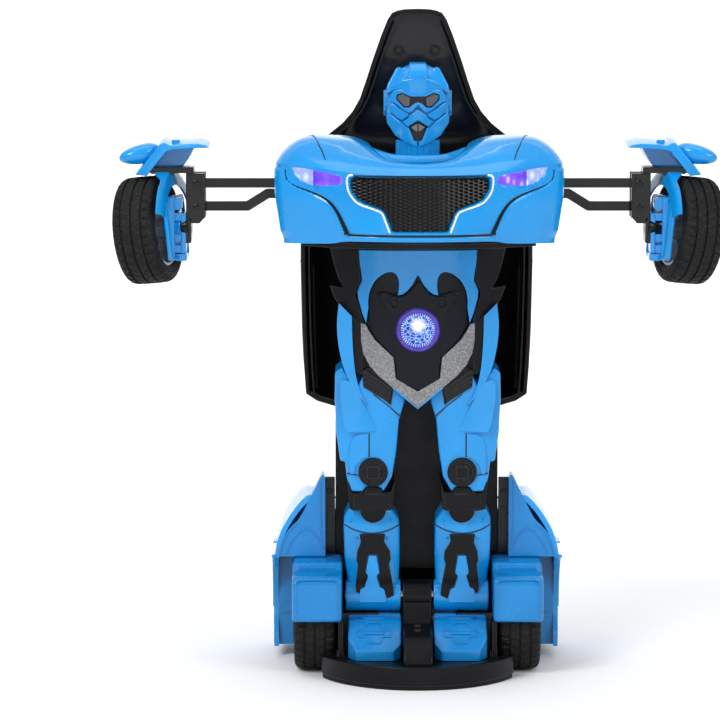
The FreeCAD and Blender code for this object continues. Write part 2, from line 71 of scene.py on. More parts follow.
def soft_table(points, x):
    """Smooth value at x through sorted (x, value) pairs, by cubic Hermite spans."""
    if x <= points[0][0]:
        return points[0][1]
    if x >= points[-1][0]:
        return points[-1][1]
    for i in range(len(points) - 1):
        (xa, va), (xb, vb) = points[i], points[i + 1]
        if x <= xb:
            before = points[i - 1] if i else points[i]
            after = points[i + 2] if i + 2 < len(points) else points[i + 1]
            ma = (vb - before[1]) / (xb - before[0]) * (xb - xa)
            mb = (after[1] - va) / (after[0] - xa) * (xb - xa)
            t = (x - xa) / (xb - xa)
            return ((2 * t ** 3 - 3 * t ** 2 + 1) * va + (t ** 3 - 2 * t ** 2 + t) * ma
                    + (3 * t ** 2 - 2 * t ** 3) * vb + (t ** 3 - t ** 2) * mb)
    return points[-1][1]


def spline(points, per=6, closed=False):
    """Catmull-Rom points through 2-D or 3-D control points."""
    pts = [Vector(p) for p in points]
    n = len(pts)
    out = []
    for i in range(n if closed else n - 1):
        a = pts[(i - 1) % n] if closed or i else pts[i]
        b, c = pts[i], pts[(i + 1) % n]
        d = pts[(i + 2) % n] if closed or i + 2 < n else c
        for k in range(per):
            t = k / per
            out.append(0.5 * (2 * b + (c - a) * t + (2 * a - 5 * b + 4 * c - d) * t ** 2
                              + (3 * b - 3 * c + d - a) * t ** 3))
    if not closed:
        out.append(pts[-1])
    return [tuple(p) for p in out]


def both(half):
    """Full symmetric outline from its +X half, listed from top centre to bottom centre."""
    return list(half) + [(-a, b) for a, b in reversed(half) if a > 0]


def flip(points):
    """The same outline on the -X side."""
    return [(-a, b) for a, b in points]


def inside(outline, x, z):
    """Whether a point lies in a closed outline."""
    hit = False
    for (xa, za), (xb, zb) in zip(outline, outline[1:] + outline[:1]):
        if (za > z) != (zb > z) and x < (xb - xa) * (z - za) / (zb - za) + xa:
            hit = not hit
    return hit


def gap(outline, x, z):
    """Distance from a point to the edge of a closed outline, negative inside it."""
    best = 1e9
    for (xa, za), (xb, zb) in zip(outline, outline[1:] + outline[:1]):
        dx, dz = xb - xa, zb - za
        t = ((x - xa) * dx + (z - za) * dz) / (dx * dx + dz * dz + 1e-12)
        t = min(1.0, max(0.0, t))
        best = min(best, math.hypot(x - xa - dx * t, z - za - dz * t))
    return -best if inside(outline, x, z) else best


def strip(path, width):
    """Closed outline of a line of that width along a path; width may be a list, one per point."""
    left, right = [], []
    for i, (x, z) in enumerate(path):
        xa, za = path[max(i - 1, 0)]
        xb, zb = path[min(i + 1, len(path) - 1)]
        length = math.hypot(xb - xa, zb - za)
        half = (width[i] if isinstance(width, (list, tuple)) else width) / 2
        nx, nz = -(zb - za) / length * half, (xb - xa) / length * half
        left.append((x + nx, z + nz))
        right.append((x - nx, z - nz))
    return left + right[::-1]


# ------------------------------------------------------------------ meshes

PLANES = {"xz": lambda a, b, c: (a, c, b), "yz": lambda a, b, c: (c, a, b), "xy": lambda a, b, c: (a, b, c)}


def prism(outline, lo, hi, plane="xz", bevel=0.6, segments=2, grid=0.0, warp=None):
    """Mesh of a closed outline swept across its plane from lo to hi, with rounded edges.

    grid cuts it every so many millimetres, and warp moves each vertex."""
    put = PLANES[plane]
    bm = bmesh.new()
    clean = [p for i, p in enumerate(outline)
             if math.hypot(p[0] - outline[i - 1][0], p[1] - outline[i - 1][1]) > 1e-3]
    low = [bm.verts.new(put(a, b, lo)) for a, b in clean]
    high = [bm.verts.new(put(a, b, hi)) for a, b in clean]
    bm.faces.new(low)
    bm.faces.new(high[::-1])
    for i in range(len(clean)):
        bm.faces.new((low[i - 1], high[i - 1], high[i], low[i]))
    return refine(bm, bevel, segments, grid, warp)


def refine(bm, bevel=0.0, segments=2, grid=0.0, warp=None):
    """Rounds the sharp edges of a mesh, then cuts and warps it."""
    bmesh.ops.recalc_face_normals(bm, faces=bm.faces[:])
    if bevel:
        edges = [e for e in bm.edges if e.is_manifold and e.calc_face_angle(0) > math.radians(28)]
        bmesh.ops.bevel(bm, geom=edges, offset=bevel, segments=segments, profile=0.5, affect="EDGES",
                        clamp_overlap=True)
    if grid:
        lo = [min(v.co[k] for v in bm.verts) for k in range(3)]
        hi = [max(v.co[k] for v in bm.verts) for k in range(3)]
        for k in range(3):
            at = (math.floor(lo[k] / grid) + 1) * grid
            normal = Vector([float(j == k) for j in range(3)])
            while at < hi[k]:
                bmesh.ops.bisect_plane(bm, geom=bm.verts[:] + bm.edges[:] + bm.faces[:], dist=1e-3,
                                       plane_co=normal * at, plane_no=normal)
                at += grid
    if warp:
        for v in bm.verts:
            v.co = warp(*v.co)
    return bm


def rect(x0, x1, z0, z1):
    """Rectangle outline."""
    return [(x0, z0), (x1, z0), (x1, z1), (x0, z1)]


def rounded(x0, x1, z0, z1, r, steps=4):
    """Rectangle outline with round corners."""
    out = []
    corners = ((x1 - r, z1 - r, 0), (x0 + r, z1 - r, 90), (x0 + r, z0 + r, 180), (x1 - r, z0 + r, 270))
    for cx, cz, start in corners:
        for k in range(steps + 1):
            a = math.radians(start + 90 * k / steps)
            out.append((cx + r * math.cos(a), cz + r * math.sin(a)))
    return out


def circle(x, z, r, n):
    """Points of a circle."""
    turns = [math.radians(360.0 * k / n) for k in range(n)]
    return [(x + r * math.cos(a), z + r * math.sin(a)) for a in turns]


def lathe(profile, axis="x", at=(0, 0, 0), n=48):
    """Closed (along, radius) profile turned about an axis through a point."""
    bm = bmesh.new()
    rings = []
    for k in range(n):
        c, s = math.cos(2 * math.pi * k / n), math.sin(2 * math.pi * k / n)
        ring = []
        for along, radius in profile:
            local = {"x": (along, radius * c, radius * s), "y": (radius * s, along, radius * c),
                     "z": (radius * c, radius * s, along)}[axis]
            ring.append(bm.verts.new(Vector(local) + Vector(at)))
        rings.append(ring)
    m = len(profile)
    for k in range(n):
        a, b = rings[k - 1], rings[k]
        for i in range(m):
            bm.faces.new((a[i - 1], a[i], b[i], b[i - 1]))
    bmesh.ops.remove_doubles(bm, verts=bm.verts[:], dist=1e-4)
    bmesh.ops.recalc_face_normals(bm, faces=bm.faces[:])
    return bm


def disc_profile(lo, hi, radius, edge=0.5, bore=0.0):
    """Lathe profile of a rounded disc or ring."""
    return [(lo, bore), (lo, radius - edge), (lo + edge * 0.3, radius - edge * 0.3), (lo + edge, radius),
            (hi - edge, radius), (hi - edge * 0.3, radius - edge * 0.3), (hi, radius - edge), (hi, bore)]


def sheet(rows, thick=0.0, wrap=False):
    """Grid of points as a surface; thick gives it a second wall along its normals."""
    bm = bmesh.new()
    verts = [[bm.verts.new(p) for p in row] for row in rows]
    for a, b in zip(verts, verts[1:]):
        for i in range(0 if wrap else 1, len(a)):
            bm.faces.new((a[i - 1], a[i], b[i], b[i - 1]))
    bmesh.ops.remove_doubles(bm, verts=bm.verts[:], dist=1e-4)
    if thick:
        bm.normal_update()
        outer = bm.verts[:]
        rim = [e for e in bm.edges if e.is_boundary]
        normals = {v: v.normal.copy() for v in outer}
        twin = {v: bm.verts.new(v.co - normals[v] * thick) for v in outer}
        for f in bm.faces[:]:
            bm.faces.new([twin[v] for v in reversed(f.verts)])
        for e in rim:
            a, b = e.verts
            bm.faces.new((a, b, twin[b], twin[a]))
    bmesh.ops.recalc_face_normals(bm, faces=bm.faces[:])
    return bm


def tube(path, radius, n=10):
    """Round rod along 3-D points, closed at both ends."""
    pts = [Vector(p) for p in path]
    bm = bmesh.new()
    rings = []
    side = None
    for i, p in enumerate(pts):
        along = (pts[min(i + 1, len(pts) - 1)] - pts[max(i - 1, 0)]).normalized()
        side = along.orthogonal() if side is None else side - along * side.dot(along)
        side.normalize()
        up = along.cross(side)
        turns = [2 * math.pi * k / n for k in range(n)]
        rings.append([bm.verts.new(p + side * radius * math.cos(a)
                                   + up * radius * math.sin(a)) for a in turns])
    for a, b in zip(rings, rings[1:]):
        for k in range(n):
            bm.faces.new((a[k - 1], a[k], b[k], b[k - 1]))
    bm.faces.new(rings[0])
    bm.faces.new(rings[-1][::-1])
    bmesh.ops.recalc_face_normals(bm, faces=bm.faces[:])
    return bm


def capped(bm):
    """The mesh with its open ends closed and its faces turned outwards."""
    bmesh.ops.holes_fill(bm, edges=[e for e in bm.edges if e.is_boundary], sides=0)
    bmesh.ops.recalc_face_normals(bm, faces=bm.faces[:])
    return bm


def join(*parts):
    """One mesh out of several, which are used up."""
    out = bmesh.new()
    for part in parts:
        scratch = bpy.data.meshes.new("scratch")
        part.to_mesh(scratch)
        out.from_mesh(scratch)
        bpy.data.meshes.remove(scratch)
        part.free()
    return out


def moved(bm, matrix):
    """The mesh after a transform in millimetres; a mirror turns its faces back out."""
    bmesh.ops.transform(bm, matrix=matrix, verts=bm.verts[:])
    if matrix.determinant() < 0:
        bmesh.ops.reverse_faces(bm, faces=bm.faces[:])
    return bm


def mirrored(bm):
    """The mesh on the -X side."""
    return moved(bm, Matrix.Scale(-1, 4, (1, 0, 0)))


def pair(build):
    """A +X mesh and its mirror image in one."""
    return join(build(), mirrored(build()))


# What turns a +X mesh into that of each side; the toy's left is +X.
SIDES = (("left", lambda mesh: mesh), ("right", mirrored))


def bent(curve):
    """Warp that sets a front face back towards both sides."""
    return lambda x, y, z: (x, y + curve * x * x, z)


def piece(name, bm, material, body, nodes=(), smooth=40, cutters=()):
    """Makes a visible piece from a mesh, cuts it with closed meshes, and ties it to its CAD body."""
    for v in bm.verts:
        v.co *= MM
    mesh = bpy.data.meshes.new(name)
    bm.to_mesh(mesh)
    bm.free()
    obj = bpy.data.objects.new(name, mesh)
    bpy.context.scene.collection.objects.link(obj)
    for cutter in cutters:
        for v in cutter.verts:
            v.co *= MM
        tool_mesh = bpy.data.meshes.new("cutter")
        cutter.to_mesh(tool_mesh)
        cutter.free()
        tool = bpy.data.objects.new("cutter", tool_mesh)
        bpy.context.scene.collection.objects.link(tool)
        mod = obj.modifiers.new("cut", "BOOLEAN")
        mod.operation, mod.solver, mod.object = "DIFFERENCE", "EXACT", tool
        bpy.context.view_layer.update()
        result = bpy.data.meshes.new_from_object(obj.evaluated_get(bpy.context.evaluated_depsgraph_get()))
        obj.modifiers.clear()
        obj.data = result
        bpy.data.objects.remove(tool)
        bpy.data.meshes.remove(tool_mesh)
    obj.data.name = name
    obj.data.materials.clear()
    obj.data.materials.append(material)
    for poly in obj.data.polygons:
        poly.use_smooth = True
        poly.material_index = 0
    obj.data.set_sharp_from_angle(angle=math.radians(smooth))
    obj.modifiers.new("normals", "WEIGHTED_NORMAL").keep_sharp = True
    if nodes:
        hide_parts(*nodes)
    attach(obj, body)
    return obj


# --------------------------------------------------------------- materials

class Graph:
    """Short calls for building a node material."""

    def __init__(self, name):
        self.material = bpy.data.materials.new(name)
        self.material.use_nodes = True
        self.nodes = self.material.node_tree.nodes
        self.links = self.material.node_tree.links
        self.shader = self.nodes["Principled BSDF"]
        self.place = self.nodes.new("ShaderNodeTexCoord").outputs["Object"]

    def set(self, **values):
        for key, value in values.items():
            self.shader.inputs[key.replace("_", " ")].default_value = value

    def link(self, a, b):
        self.links.new(a, b)

    def feed(self, **sources):
        """Ties outputs to the shader's inputs, named with _ for a space."""
        for key, source in sources.items():
            self.link(source, self.shader.inputs[key.replace("_", " ")])

    def noise(self, scale, stretch=None, **extra):
        """Noise from 0 to 1."""
        return self.texture("ShaderNodeTexNoise", scale, stretch, **extra).outputs["Fac"]

    def texture(self, kind, scale, stretch=None, **extra):
        """Texture node in object coordinates, its lengths in 1/m."""
        node = self.nodes.new(kind)
        node.inputs["Scale"].default_value = scale
        for key, value in extra.items():
            if key in node.inputs:
                node.inputs[key].default_value = value
            else:
                setattr(node, key, value)
        where = self.place
        if stretch:
            mapping = self.nodes.new("ShaderNodeMapping")
            mapping.inputs["Scale"].default_value = stretch
            self.link(where, mapping.inputs["Vector"])
            where = mapping.outputs["Vector"]
        self.link(where, node.inputs["Vector"])
        return node

    def ramp(self, source, stops):
        """Colour ramp with (position, colour) stops; a colour may be one grey number."""
        node = self.nodes.new("ShaderNodeValToRGB")
        self.link(source, node.inputs["Fac"])
        band = node.color_ramp.elements
        while len(band) < len(stops):
            band.new(0.5)
        for element, (at, color) in zip(band, stops):
            element.position = at
            element.color = (color,) * 3 + (1,) if isinstance(color, (int, float)) else tuple(color) + (1,)
        return node.outputs["Color"]

    def mix(self, factor, a, b):
        """Blend of two colours or colour sockets by a socket or number."""
        node = self.nodes.new("ShaderNodeMix")
        node.data_type = "RGBA"
        for socket, value in ((node.inputs["Factor"], factor), (node.inputs["A"], a), (node.inputs["B"], b)):
            if isinstance(value, bpy.types.NodeSocket):
                self.link(value, socket)
            else:
                socket.default_value = value if isinstance(value, (int, float)) else tuple(value) + (1,)
        return node.outputs["Result"]

    def math(self, kind, a, b=0.0):
        node = self.nodes.new("ShaderNodeMath")
        node.operation = kind
        for socket, value in zip(node.inputs, (a, b)):
            if isinstance(value, bpy.types.NodeSocket):
                self.link(value, socket)
            else:
                socket.default_value = value
        return node.outputs["Value"]

    def bump(self, height, strength, distance_mm, after=None):
        node = self.nodes.new("ShaderNodeBump")
        node.inputs["Strength"].default_value = strength
        node.inputs["Distance"].default_value = distance_mm * MM
        self.link(height, node.inputs["Height"])
        if after:
            self.link(after, node.inputs["Normal"])
        self.link(node.outputs["Normal"], self.shader.inputs["Normal"])
        return node.outputs["Normal"]

    def edges(self, radius_mm=0.5):
        """1 along sharp edges, 0 on flats, for wear and painted edge highlights."""
        bevel = self.nodes.new("ShaderNodeBevel")
        bevel.samples = 4
        bevel.inputs["Radius"].default_value = radius_mm * MM
        flat = self.nodes.new("ShaderNodeNewGeometry")
        dot = self.nodes.new("ShaderNodeVectorMath")
        dot.operation = "DOT_PRODUCT"
        self.link(bevel.outputs["Normal"], dot.inputs[0])
        self.link(flat.outputs["Normal"], dot.inputs[1])
        return self.ramp(self.math("SUBTRACT", 1.0, dot.outputs["Value"]), [(0.02, 0.0), (0.2, 1.0)])


def plastic(name, color, rough, coat=0.0, grain=2600, grain_mm=0.012, spread=0.07, edge=0.25, lift=0.5,
            specular=0.5):
    """Moulded plastic: tone drift, fine surface grain, uneven gloss and lighter edges, part wear, part
    painted highlight.
    """
    g = Graph(name)
    g.set(IOR=1.47, Coat_Weight=coat, Coat_Roughness=0.06, Specular_IOR_Level=specular)
    drift = g.noise(34, Detail=3.0)
    low = [c * (1 - spread) for c in color]
    high = [min(1.0, c * (1 + spread)) for c in color]
    body = g.ramp(drift, [(0.35, low), (0.65, high)])
    # Lightening along sharp edges, broken up by noise: partly scuff wear, partly a painted highlight.
    edge_breakup = g.noise(900, Detail=4.0)
    edge_wear_and_highlight = g.math("MULTIPLY", g.edges(), g.math("MULTIPLY", edge_breakup, edge))
    body = g.mix(edge_wear_and_highlight, body, [min(1.0, c + (1 - c) * lift) for c in color])
    g.feed(Base_Color=body)
    cloud = g.noise(120, Detail=5.0)
    g.feed(Roughness=g.ramp(cloud, [(0.3, rough * 0.82), (0.7, rough * 1.22)]))
    fine = g.noise(grain, Detail=2.0)
    wave = g.noise(260, Detail=1.0)
    first = g.bump(wave, 0.35, 0.03)
    g.bump(fine, 0.5, grain_mm, first)
    return g.material


def glow_plastic(name, stops, kind, scale, stretch=None, strength=3.0, base=(0.2, 0.2, 0.6)):
    """Lit moulded lens whose glow follows a texture of ribs or facets."""
    g = Graph(name)
    g.set(Base_Color=tuple(base) + (1,), Roughness=0.12, Coat_Weight=0.35, Coat_Roughness=0.03,
          Emission_Strength=strength)
    tex = g.texture(kind, scale, stretch)
    out = tex.outputs["Fac"] if "Fac" in tex.outputs else tex.outputs["Distance"]
    g.feed(Emission_Color=g.ramp(out, stops))
    g.bump(out, 0.5, 0.1)
    return g.material


# Each plastic's edge value sets how much it is lightened along sharp edges, partly as wear and partly as
# painted highlight; the black plastics get the most.
BLUE = plastic("blue_gloss", (0.002, 0.27, 0.68), 0.24, coat=0.45, edge=0.25, lift=0.3, specular=0.35)
BLUE_SATIN = plastic("blue_moulded", (0.002, 0.20, 0.53), 0.28, coat=0.3, edge=0.25, lift=0.3, grain=1500,
                     grain_mm=0.02, specular=0.35)
BLUE_PALE = plastic("blue_clouded", (0.02, 0.22, 0.55), 0.30, coat=0.4, edge=0.3)
BLACK = plastic("black_moulded", (0.0040, 0.0040, 0.0050), 0.33, edge=0.6, lift=0.22, grain=1900,
                grain_mm=0.03, specular=0.2)
BLACK_GLOSS = plastic("black_gloss", (0.0035, 0.0035, 0.0045), 0.2, coat=0.12, edge=0.25, lift=0.1,
                      specular=0.28)
BLACK_SHIELD = plastic("black_shield", (0.0035, 0.0045, 0.009), 0.22, coat=0.04, edge=0.7, lift=0.22,
                       specular=0.18)
GLASS_BLACK = plastic("black_glass", (0.004, 0.005, 0.007), 0.07, coat=0.5, edge=0.1, lift=0.1,
                      grain_mm=0.002)
SMOKE = plastic("smoked_visor", (0.10, 0.095, 0.10), 0.16, coat=0.8, edge=0.2, lift=0.3)
GEAR = plastic("gear_case_moulded", (0.02, 0.02, 0.022), 0.45, edge=0.3, lift=0.2)


def silver_flake():
    """Silver paint with coarse flakes."""
    g = Graph("silver_flake")
    g.set(Metallic=0.35, Coat_Weight=0.4, Coat_Roughness=0.15, Roughness=0.45)
    cells = g.texture("ShaderNodeTexVoronoi", 3400)
    speck = g.noise(3200, Detail=5.0, Roughness=0.8)
    grey = g.ramp(speck, [(0.34, 0.07), (0.52, 0.17), (0.68, 0.36)])
    bright = g.math("GREATER_THAN", g.math("FRACT", g.math("MULTIPLY", cells.outputs["Color"], 7.3)), 0.8)
    g.feed(Base_Color=g.mix(bright, grey, (0.38, 0.38, 0.42)))
    g.bump(cells.outputs["Distance"], 0.5, 0.05)
    return g.material


def bright_trim():
    """Bright silver foil on the grille trim, with faint brushing."""
    g = Graph("bright_trim")
    g.set(Metallic=0.55, Coat_Weight=0.3)
    lines = g.noise(300, (1, 1, 9), Detail=4.0)
    g.feed(Base_Color=g.ramp(lines, [(0.3, (0.80, 0.84, 0.90)), (0.7, (0.96, 0.98, 1.0))]))
    g.feed(Roughness=g.ramp(lines, [(0.3, 0.2), (0.7, 0.32)]))
    g.bump(lines, 0.2, 0.02)
    return g.material


def rubber():
    """Tyre rubber with mould texture, dust and pale specks."""
    g = Graph("tyre_rubber")
    g.set(Specular_IOR_Level=0.2)
    dust = g.noise(90, Detail=6.0, Roughness=0.7)
    body = g.ramp(dust, [(0.35, (0.005, 0.005, 0.005)), (0.62, (0.011, 0.011, 0.010)),
                                        (0.8, (0.022, 0.021, 0.019))])
    specks = g.texture("ShaderNodeTexVoronoi", 900)
    near = g.math("LESS_THAN", specks.outputs["Distance"], 0.12)
    g.feed(Base_Color=g.mix(g.math("MULTIPLY", near, 0.5), body, (0.25, 0.24, 0.22)))
    g.feed(Roughness=g.ramp(dust, [(0.3, 0.52), (0.7, 0.8)]))
    fine = g.noise(2200, Detail=3.0)
    g.bump(fine, 0.7, 0.06)
    return g.material


def steel():
    """Ground steel, brushed along its length, with a little tarnish."""
    g = Graph("ground_steel")
    g.set(Metallic=1.0)
    lines = g.noise(500, (0.05, 1, 1), Detail=5.0)
    stain = g.noise(60, Detail=3.0)
    tone = g.ramp(lines, [(0.3, (0.45, 0.46, 0.48)), (0.7, (0.68, 0.69, 0.71))])
    g.feed(Base_Color=g.mix(g.math("MULTIPLY", stain, 0.3), tone, (0.35, 0.32, 0.28)))
    g.feed(Roughness=g.ramp(lines, [(0.3, 0.22), (0.7, 0.4)]))
    g.bump(lines, 0.3, 0.02)
    return g.material


def rim_paint():
    """Grey painted wheel with fine metallic flake."""
    g = Graph("rim_paint")
    g.set(Metallic=0.6, Coat_Weight=0.5, Coat_Roughness=0.1)
    flake = g.noise(2600, Detail=3.0)
    g.feed(Base_Color=g.ramp(flake, [(0.35, (0.22, 0.22, 0.24)), (0.65, (0.42, 0.43, 0.45))]))
    grime = g.noise(140, Detail=4.0)
    g.feed(Roughness=g.ramp(grime, [(0.3, 0.26), (0.7, 0.46)]))
    g.bump(flake, 0.2, 0.01)
    return g.material


def red_lens():
    """Red lamp plastic with vertical optic ribs."""
    g = Graph("red_lens")
    g.set(Coat_Weight=1.0, Coat_Roughness=0.04, Roughness=0.2, Emission_Strength=0.12,
          Emission_Color=(0.9, 0.02, 0.02, 1))
    ribs = g.texture("ShaderNodeTexWave", 160)
    g.feed(Base_Color=g.ramp(ribs.outputs["Fac"], [(0.0, (0.22, 0.004, 0.004)), (1.0, (0.62, 0.02, 0.02))]))
    g.bump(ribs.outputs["Fac"], 0.6, 0.15)
    return g.material


def battery():
    """Dry cell: printed sleeve in two tones with a scuffed foil look."""
    g = Graph("battery_sleeve")
    g.set(Metallic=0.5, Roughness=0.3)
    bands = g.texture("ShaderNodeTexWave", 9, (1, 0.02, 0.02))
    tone = g.ramp(bands.outputs["Fac"], [(0.45, (0.06, 0.07, 0.08)), (0.5, (0.55, 0.42, 0.2))])
    scratch = g.noise(700, (0.2, 1, 1), Detail=5.0)
    g.feed(Base_Color=g.mix(g.math("MULTIPLY", scratch, 0.2), tone, (0.6, 0.6, 0.6)))
    g.bump(scratch, 0.2, 0.02)
    return g.material


def circuit():
    """Green board with copper traces under the mask."""
    g = Graph("circuit_board")
    g.set(Roughness=0.35, Coat_Weight=0.4)
    traces = g.texture("ShaderNodeTexBrick", 260)
    traces.inputs["Color1"].default_value = (0.02, 0.16, 0.05, 1)
    traces.inputs["Color2"].default_value = (0.03, 0.22, 0.07, 1)
    traces.inputs["Mortar"].default_value = (0.35, 0.22, 0.06, 1)
    g.feed(Base_Color=traces.outputs["Color"])
    g.bump(traces.outputs["Fac"], 0.3, 0.03)
    return g.material


def lamp_core(name, ring_mm, strength):
    """Round lamp seen from its centre outwards: white core, blue facets, violet rim."""
    g = Graph(name)
    g.set(Base_Color=(0.006, 0.01, 0.12, 1), Roughness=0.1, Coat_Weight=0.25, Coat_Roughness=0.02,
          Emission_Strength=strength)
    apart = g.nodes.new("ShaderNodeSeparateXYZ")
    g.link(g.place, apart.inputs["Vector"])
    dx = apart.outputs["X"]
    dz = g.math("SUBTRACT", apart.outputs["Z"], LAMP[1] * MM)
    high = g.math("SUBTRACT", dz, 2.6 * MM)
    radius = g.math("SQRT", g.math("ADD", g.math("MULTIPLY", dx, dx), g.math("MULTIPLY", dz, dz)))
    upper = g.math("SQRT", g.math("ADD", g.math("MULTIPLY", dx, dx), g.math("MULTIPLY", high, high)))
    cells = g.texture("ShaderNodeTexVoronoi", 520, feature="DISTANCE_TO_EDGE")
    facets = g.ramp(cells.outputs["Distance"], [(0.03, (0.35, 0.62, 1.0)), (0.09, (0.02, 0.08, 0.50)),
                                                (0.30, (0.003, 0.012, 0.14))])
    rim = g.ramp(g.math("DIVIDE", radius, ring_mm * MM),
                 [(0.70, (0.0, 0.0, 0.0)), (0.76, (0.22, 0.10, 0.9)), (1.0, (0.10, 0.03, 0.55))])
    inner = g.ramp(g.math("DIVIDE", radius, ring_mm * MM), [(0.68, 1.0), (0.75, 0.0)])
    glow = g.mix(inner, rim, facets)
    core = g.ramp(g.math("DIVIDE", upper, 4.4 * MM), [(0.35, 1.0), (1.0, 0.0)])
    g.feed(Emission_Color=g.mix(core, glow, (1.0, 1.0, 1.0)))
    g.bump(cells.outputs["Distance"], 0.4, 0.1)
    return g.material


LAMP = (0.0, 173.4)
FLAKE = silver_flake()
TRIM = bright_trim()
RUBBER = rubber()
STEEL = steel()
RIM = rim_paint()
RED = red_lens()
LENS = lamp_core("lamp_lens", 10.9, 1.15)
RING_GLOW = glow_plastic("lamp_ring_glow", [(0.3, (0.03, 0.012, 0.30)), (0.7, (0.14, 0.08, 0.85))],
                         "ShaderNodeTexNoise", 260, strength=0.5, base=(0.008, 0.004, 0.10))
LED_VIOLET = glow_plastic("led_violet", [(0.10, (0.75, 0.62, 1.0)), (0.28, (0.20, 0.09, 0.95)),
                                         (0.62, (0.07, 0.02, 0.50)), (0.85, (0.28, 0.16, 1.0))],
                          "ShaderNodeTexVoronoi", 230, (1, 0.3, 0.55), strength=0.85, base=(0.10, 0.04, 0.5))
LED_CLEAR = glow_plastic("led_clear", [(0.12, (0.95, 0.97, 1.0)), (0.34, (0.40, 0.55, 1.0)),
                                       (0.60, (0.16, 0.16, 0.85)), (0.85, (0.55, 0.66, 1.0))],
                         "ShaderNodeTexVoronoi", 260, (1, 0.3, 0.7), strength=0.65, base=(0.22, 0.28, 0.6))

SLOT_MATERIALS = {
    "blue_body": BLUE_SATIN, "black_body": BLACK, "steel": STEEL, "red_lens": RED, "battery": battery(),
    "circuit": circuit(), "gear_case": GEAR, "silver_trim": FLAKE, "clear_lens": LENS, "lamp_ring": RING_GLOW,
    "grey_mask": SMOKE, "grille_black": BLACK_GLOSS, "rubber": RUBBER, "rim_grey": RIM,
}

for subpart in frame["record"]["subparts"]:
    node = frame["nodes"][subpart["node"]]
    node.data.materials.clear()
    node.data.materials.append(SLOT_MATERIALS[subpart["material_slot"]])


# ------------------------------------------------------------ nose (front end)

BOW_R = 100.0
NOSE_HALF = 69.4
NOSE_REAR = -30.0


def bow(x):
    """Y of the bowed bumper at x."""
    return 12.4 - math.sqrt(BOW_R ** 2 - min(abs(x), NOSE_HALF) ** 2)


GRILLE = both([(0, 253.4), (18.1, 253.3), (31.6, 253.4), (33.6, 252.6), (33.9, 251.0), (33.4, 247.6),
               (32.2, 245.0), (29.9, 242.2), (27.4, 240.8), (24.8, 239.8), (18.8, 237.7), (17.3, 236.4),
               (16.4, 234.7), (13.4, 227.2), (0, 227.2)])
HEADLIGHT = [(61.6, 256.9), (56.0, 256.8), (50.6, 255.9), (44.2, 254.9), (37.2, 253.6), (36.9, 249.4),
             (42.3, 248.9), (46.5, 248.5), (52.1, 248.8), (57.0, 250.6), (60.3, 254.0)]
SEAM = spline([(64.6, 255.6), (64.3, 251.9), (62.3, 249.1), (58.0, 246.9), (52.1, 244.9), (46.6, 242.6),
               (42.6, 239.6), (39.4, 235.2), (36.8, 230.0), (34.8, 225.8)], 5)
SEAM_WIDTH = [lerp(0.8, 2.5, ease(k / (len(SEAM) * 0.7))) for k in range(len(SEAM))]
CORNER_PANEL = SEAM + [(34.0, 224.0), (34.0, 210.0), (80.0, 210.0), (80.0, 255.6)]
TRIM_LINE = spline([(32.0, 254.3), (34.3, 253.6), (34.9, 251.2), (34.3, 247.2), (32.9, 244.3),
                    (30.4, 241.4), (27.6, 239.9), (24.4, 238.8), (19.0, 236.9), (17.6, 235.2),
                    (16.8, 233.2), (14.4, 226.9)], 4)


def wall_top(x):
    """Height where the upright front turns into the hood."""
    return soft_table([(0, 254.2), (20, 254.4), (33, 255.2), (44, 256.6), (54, 257.8), (62, 258.2),
                       (70, 258.0)], abs(x))


def wall_bottom(x):
    """Lower edge of the bumper."""
    return soft_table([(0, 222.6), (30, 222.5), (37, 222.2), (42, 221.2), (55, 220.4), (70, 219.6)], abs(x))


def wall_push(x, z):
    """How far the bumper's surface stands out at a point: corner panels, recesses and lower lip."""
    x = abs(x)
    out = 0.9 * ease((0.6 - gap(CORNER_PANEL, x, z)) / 1.2)
    out -= 3.6 * ease((0.2 - gap(GRILLE, x, z)) / 0.9)
    out -= 1.1 * ease((0.1 - gap(HEADLIGHT, x, z)) / 0.8)
    out += 0.8 * ease((225.2 - z) / 1.0) * ease((36 - x) / 3)
    return out


def hood_cap(x):
    """Highest the hood gets at a given x, as its rear edge shows."""
    return soft_table([(0, 259.4), (10.8, 260.1), (16.8, 261.4), (21, 263.9), (24.7, 266.2), (31.7, 269.2),
                       (42.6, 270.4), (52, 271.5), (56, 271.4), (59, 270.3), (63.5, 266.6), (69.4, 260.9)],
                      abs(x))


def nose_outline():
    """Plan line of the front end from its left rear corner round the bow, with outward normals."""
    arc = [x * 0.75 for x in range(0, 82)]
    half = [(x, bow(x)) for x in arc]
    start, bend, end = (61.0, bow(61.0)), (NOSE_HALF, -60.9), (NOSE_HALF, -51.0)
    for k in range(1, 13):
        t = k / 12
        half.append(tuple((1 - t) ** 2 * a + 2 * t * (1 - t) * b + t * t * c for a, b,
                          c in zip(start, bend, end)))
    half += [(NOSE_HALF, -51.0 + k * (51.0 + NOSE_REAR) / 14) for k in range(1, 15)]
    line = flip(half[:0:-1]) + half
    out = []
    for i, (x, y) in enumerate(line):
        xa, ya = line[max(i - 1, 0)]
        xb, yb = line[min(i + 1, len(line) - 1)]
        length = math.hypot(xb - xa, yb - ya)
        out.append((x, y, (yb - ya) / length, -(xb - xa) / length))
    return out


def hood_height(x, y, start, run):
    """Height of the hood a given run in from its edge, which starts at wall height start."""
    side = ease((y + 72) / 26) * ease((abs(x) - 30) / 30)
    rise = start + lerp(4.6, 9.0, side) * (1 - math.exp(-run / 5.0)) + 0.27 * run
    soft = 0.9
    return -soft * math.log(math.exp(-rise / soft) + math.exp(-hood_cap(x) / soft))


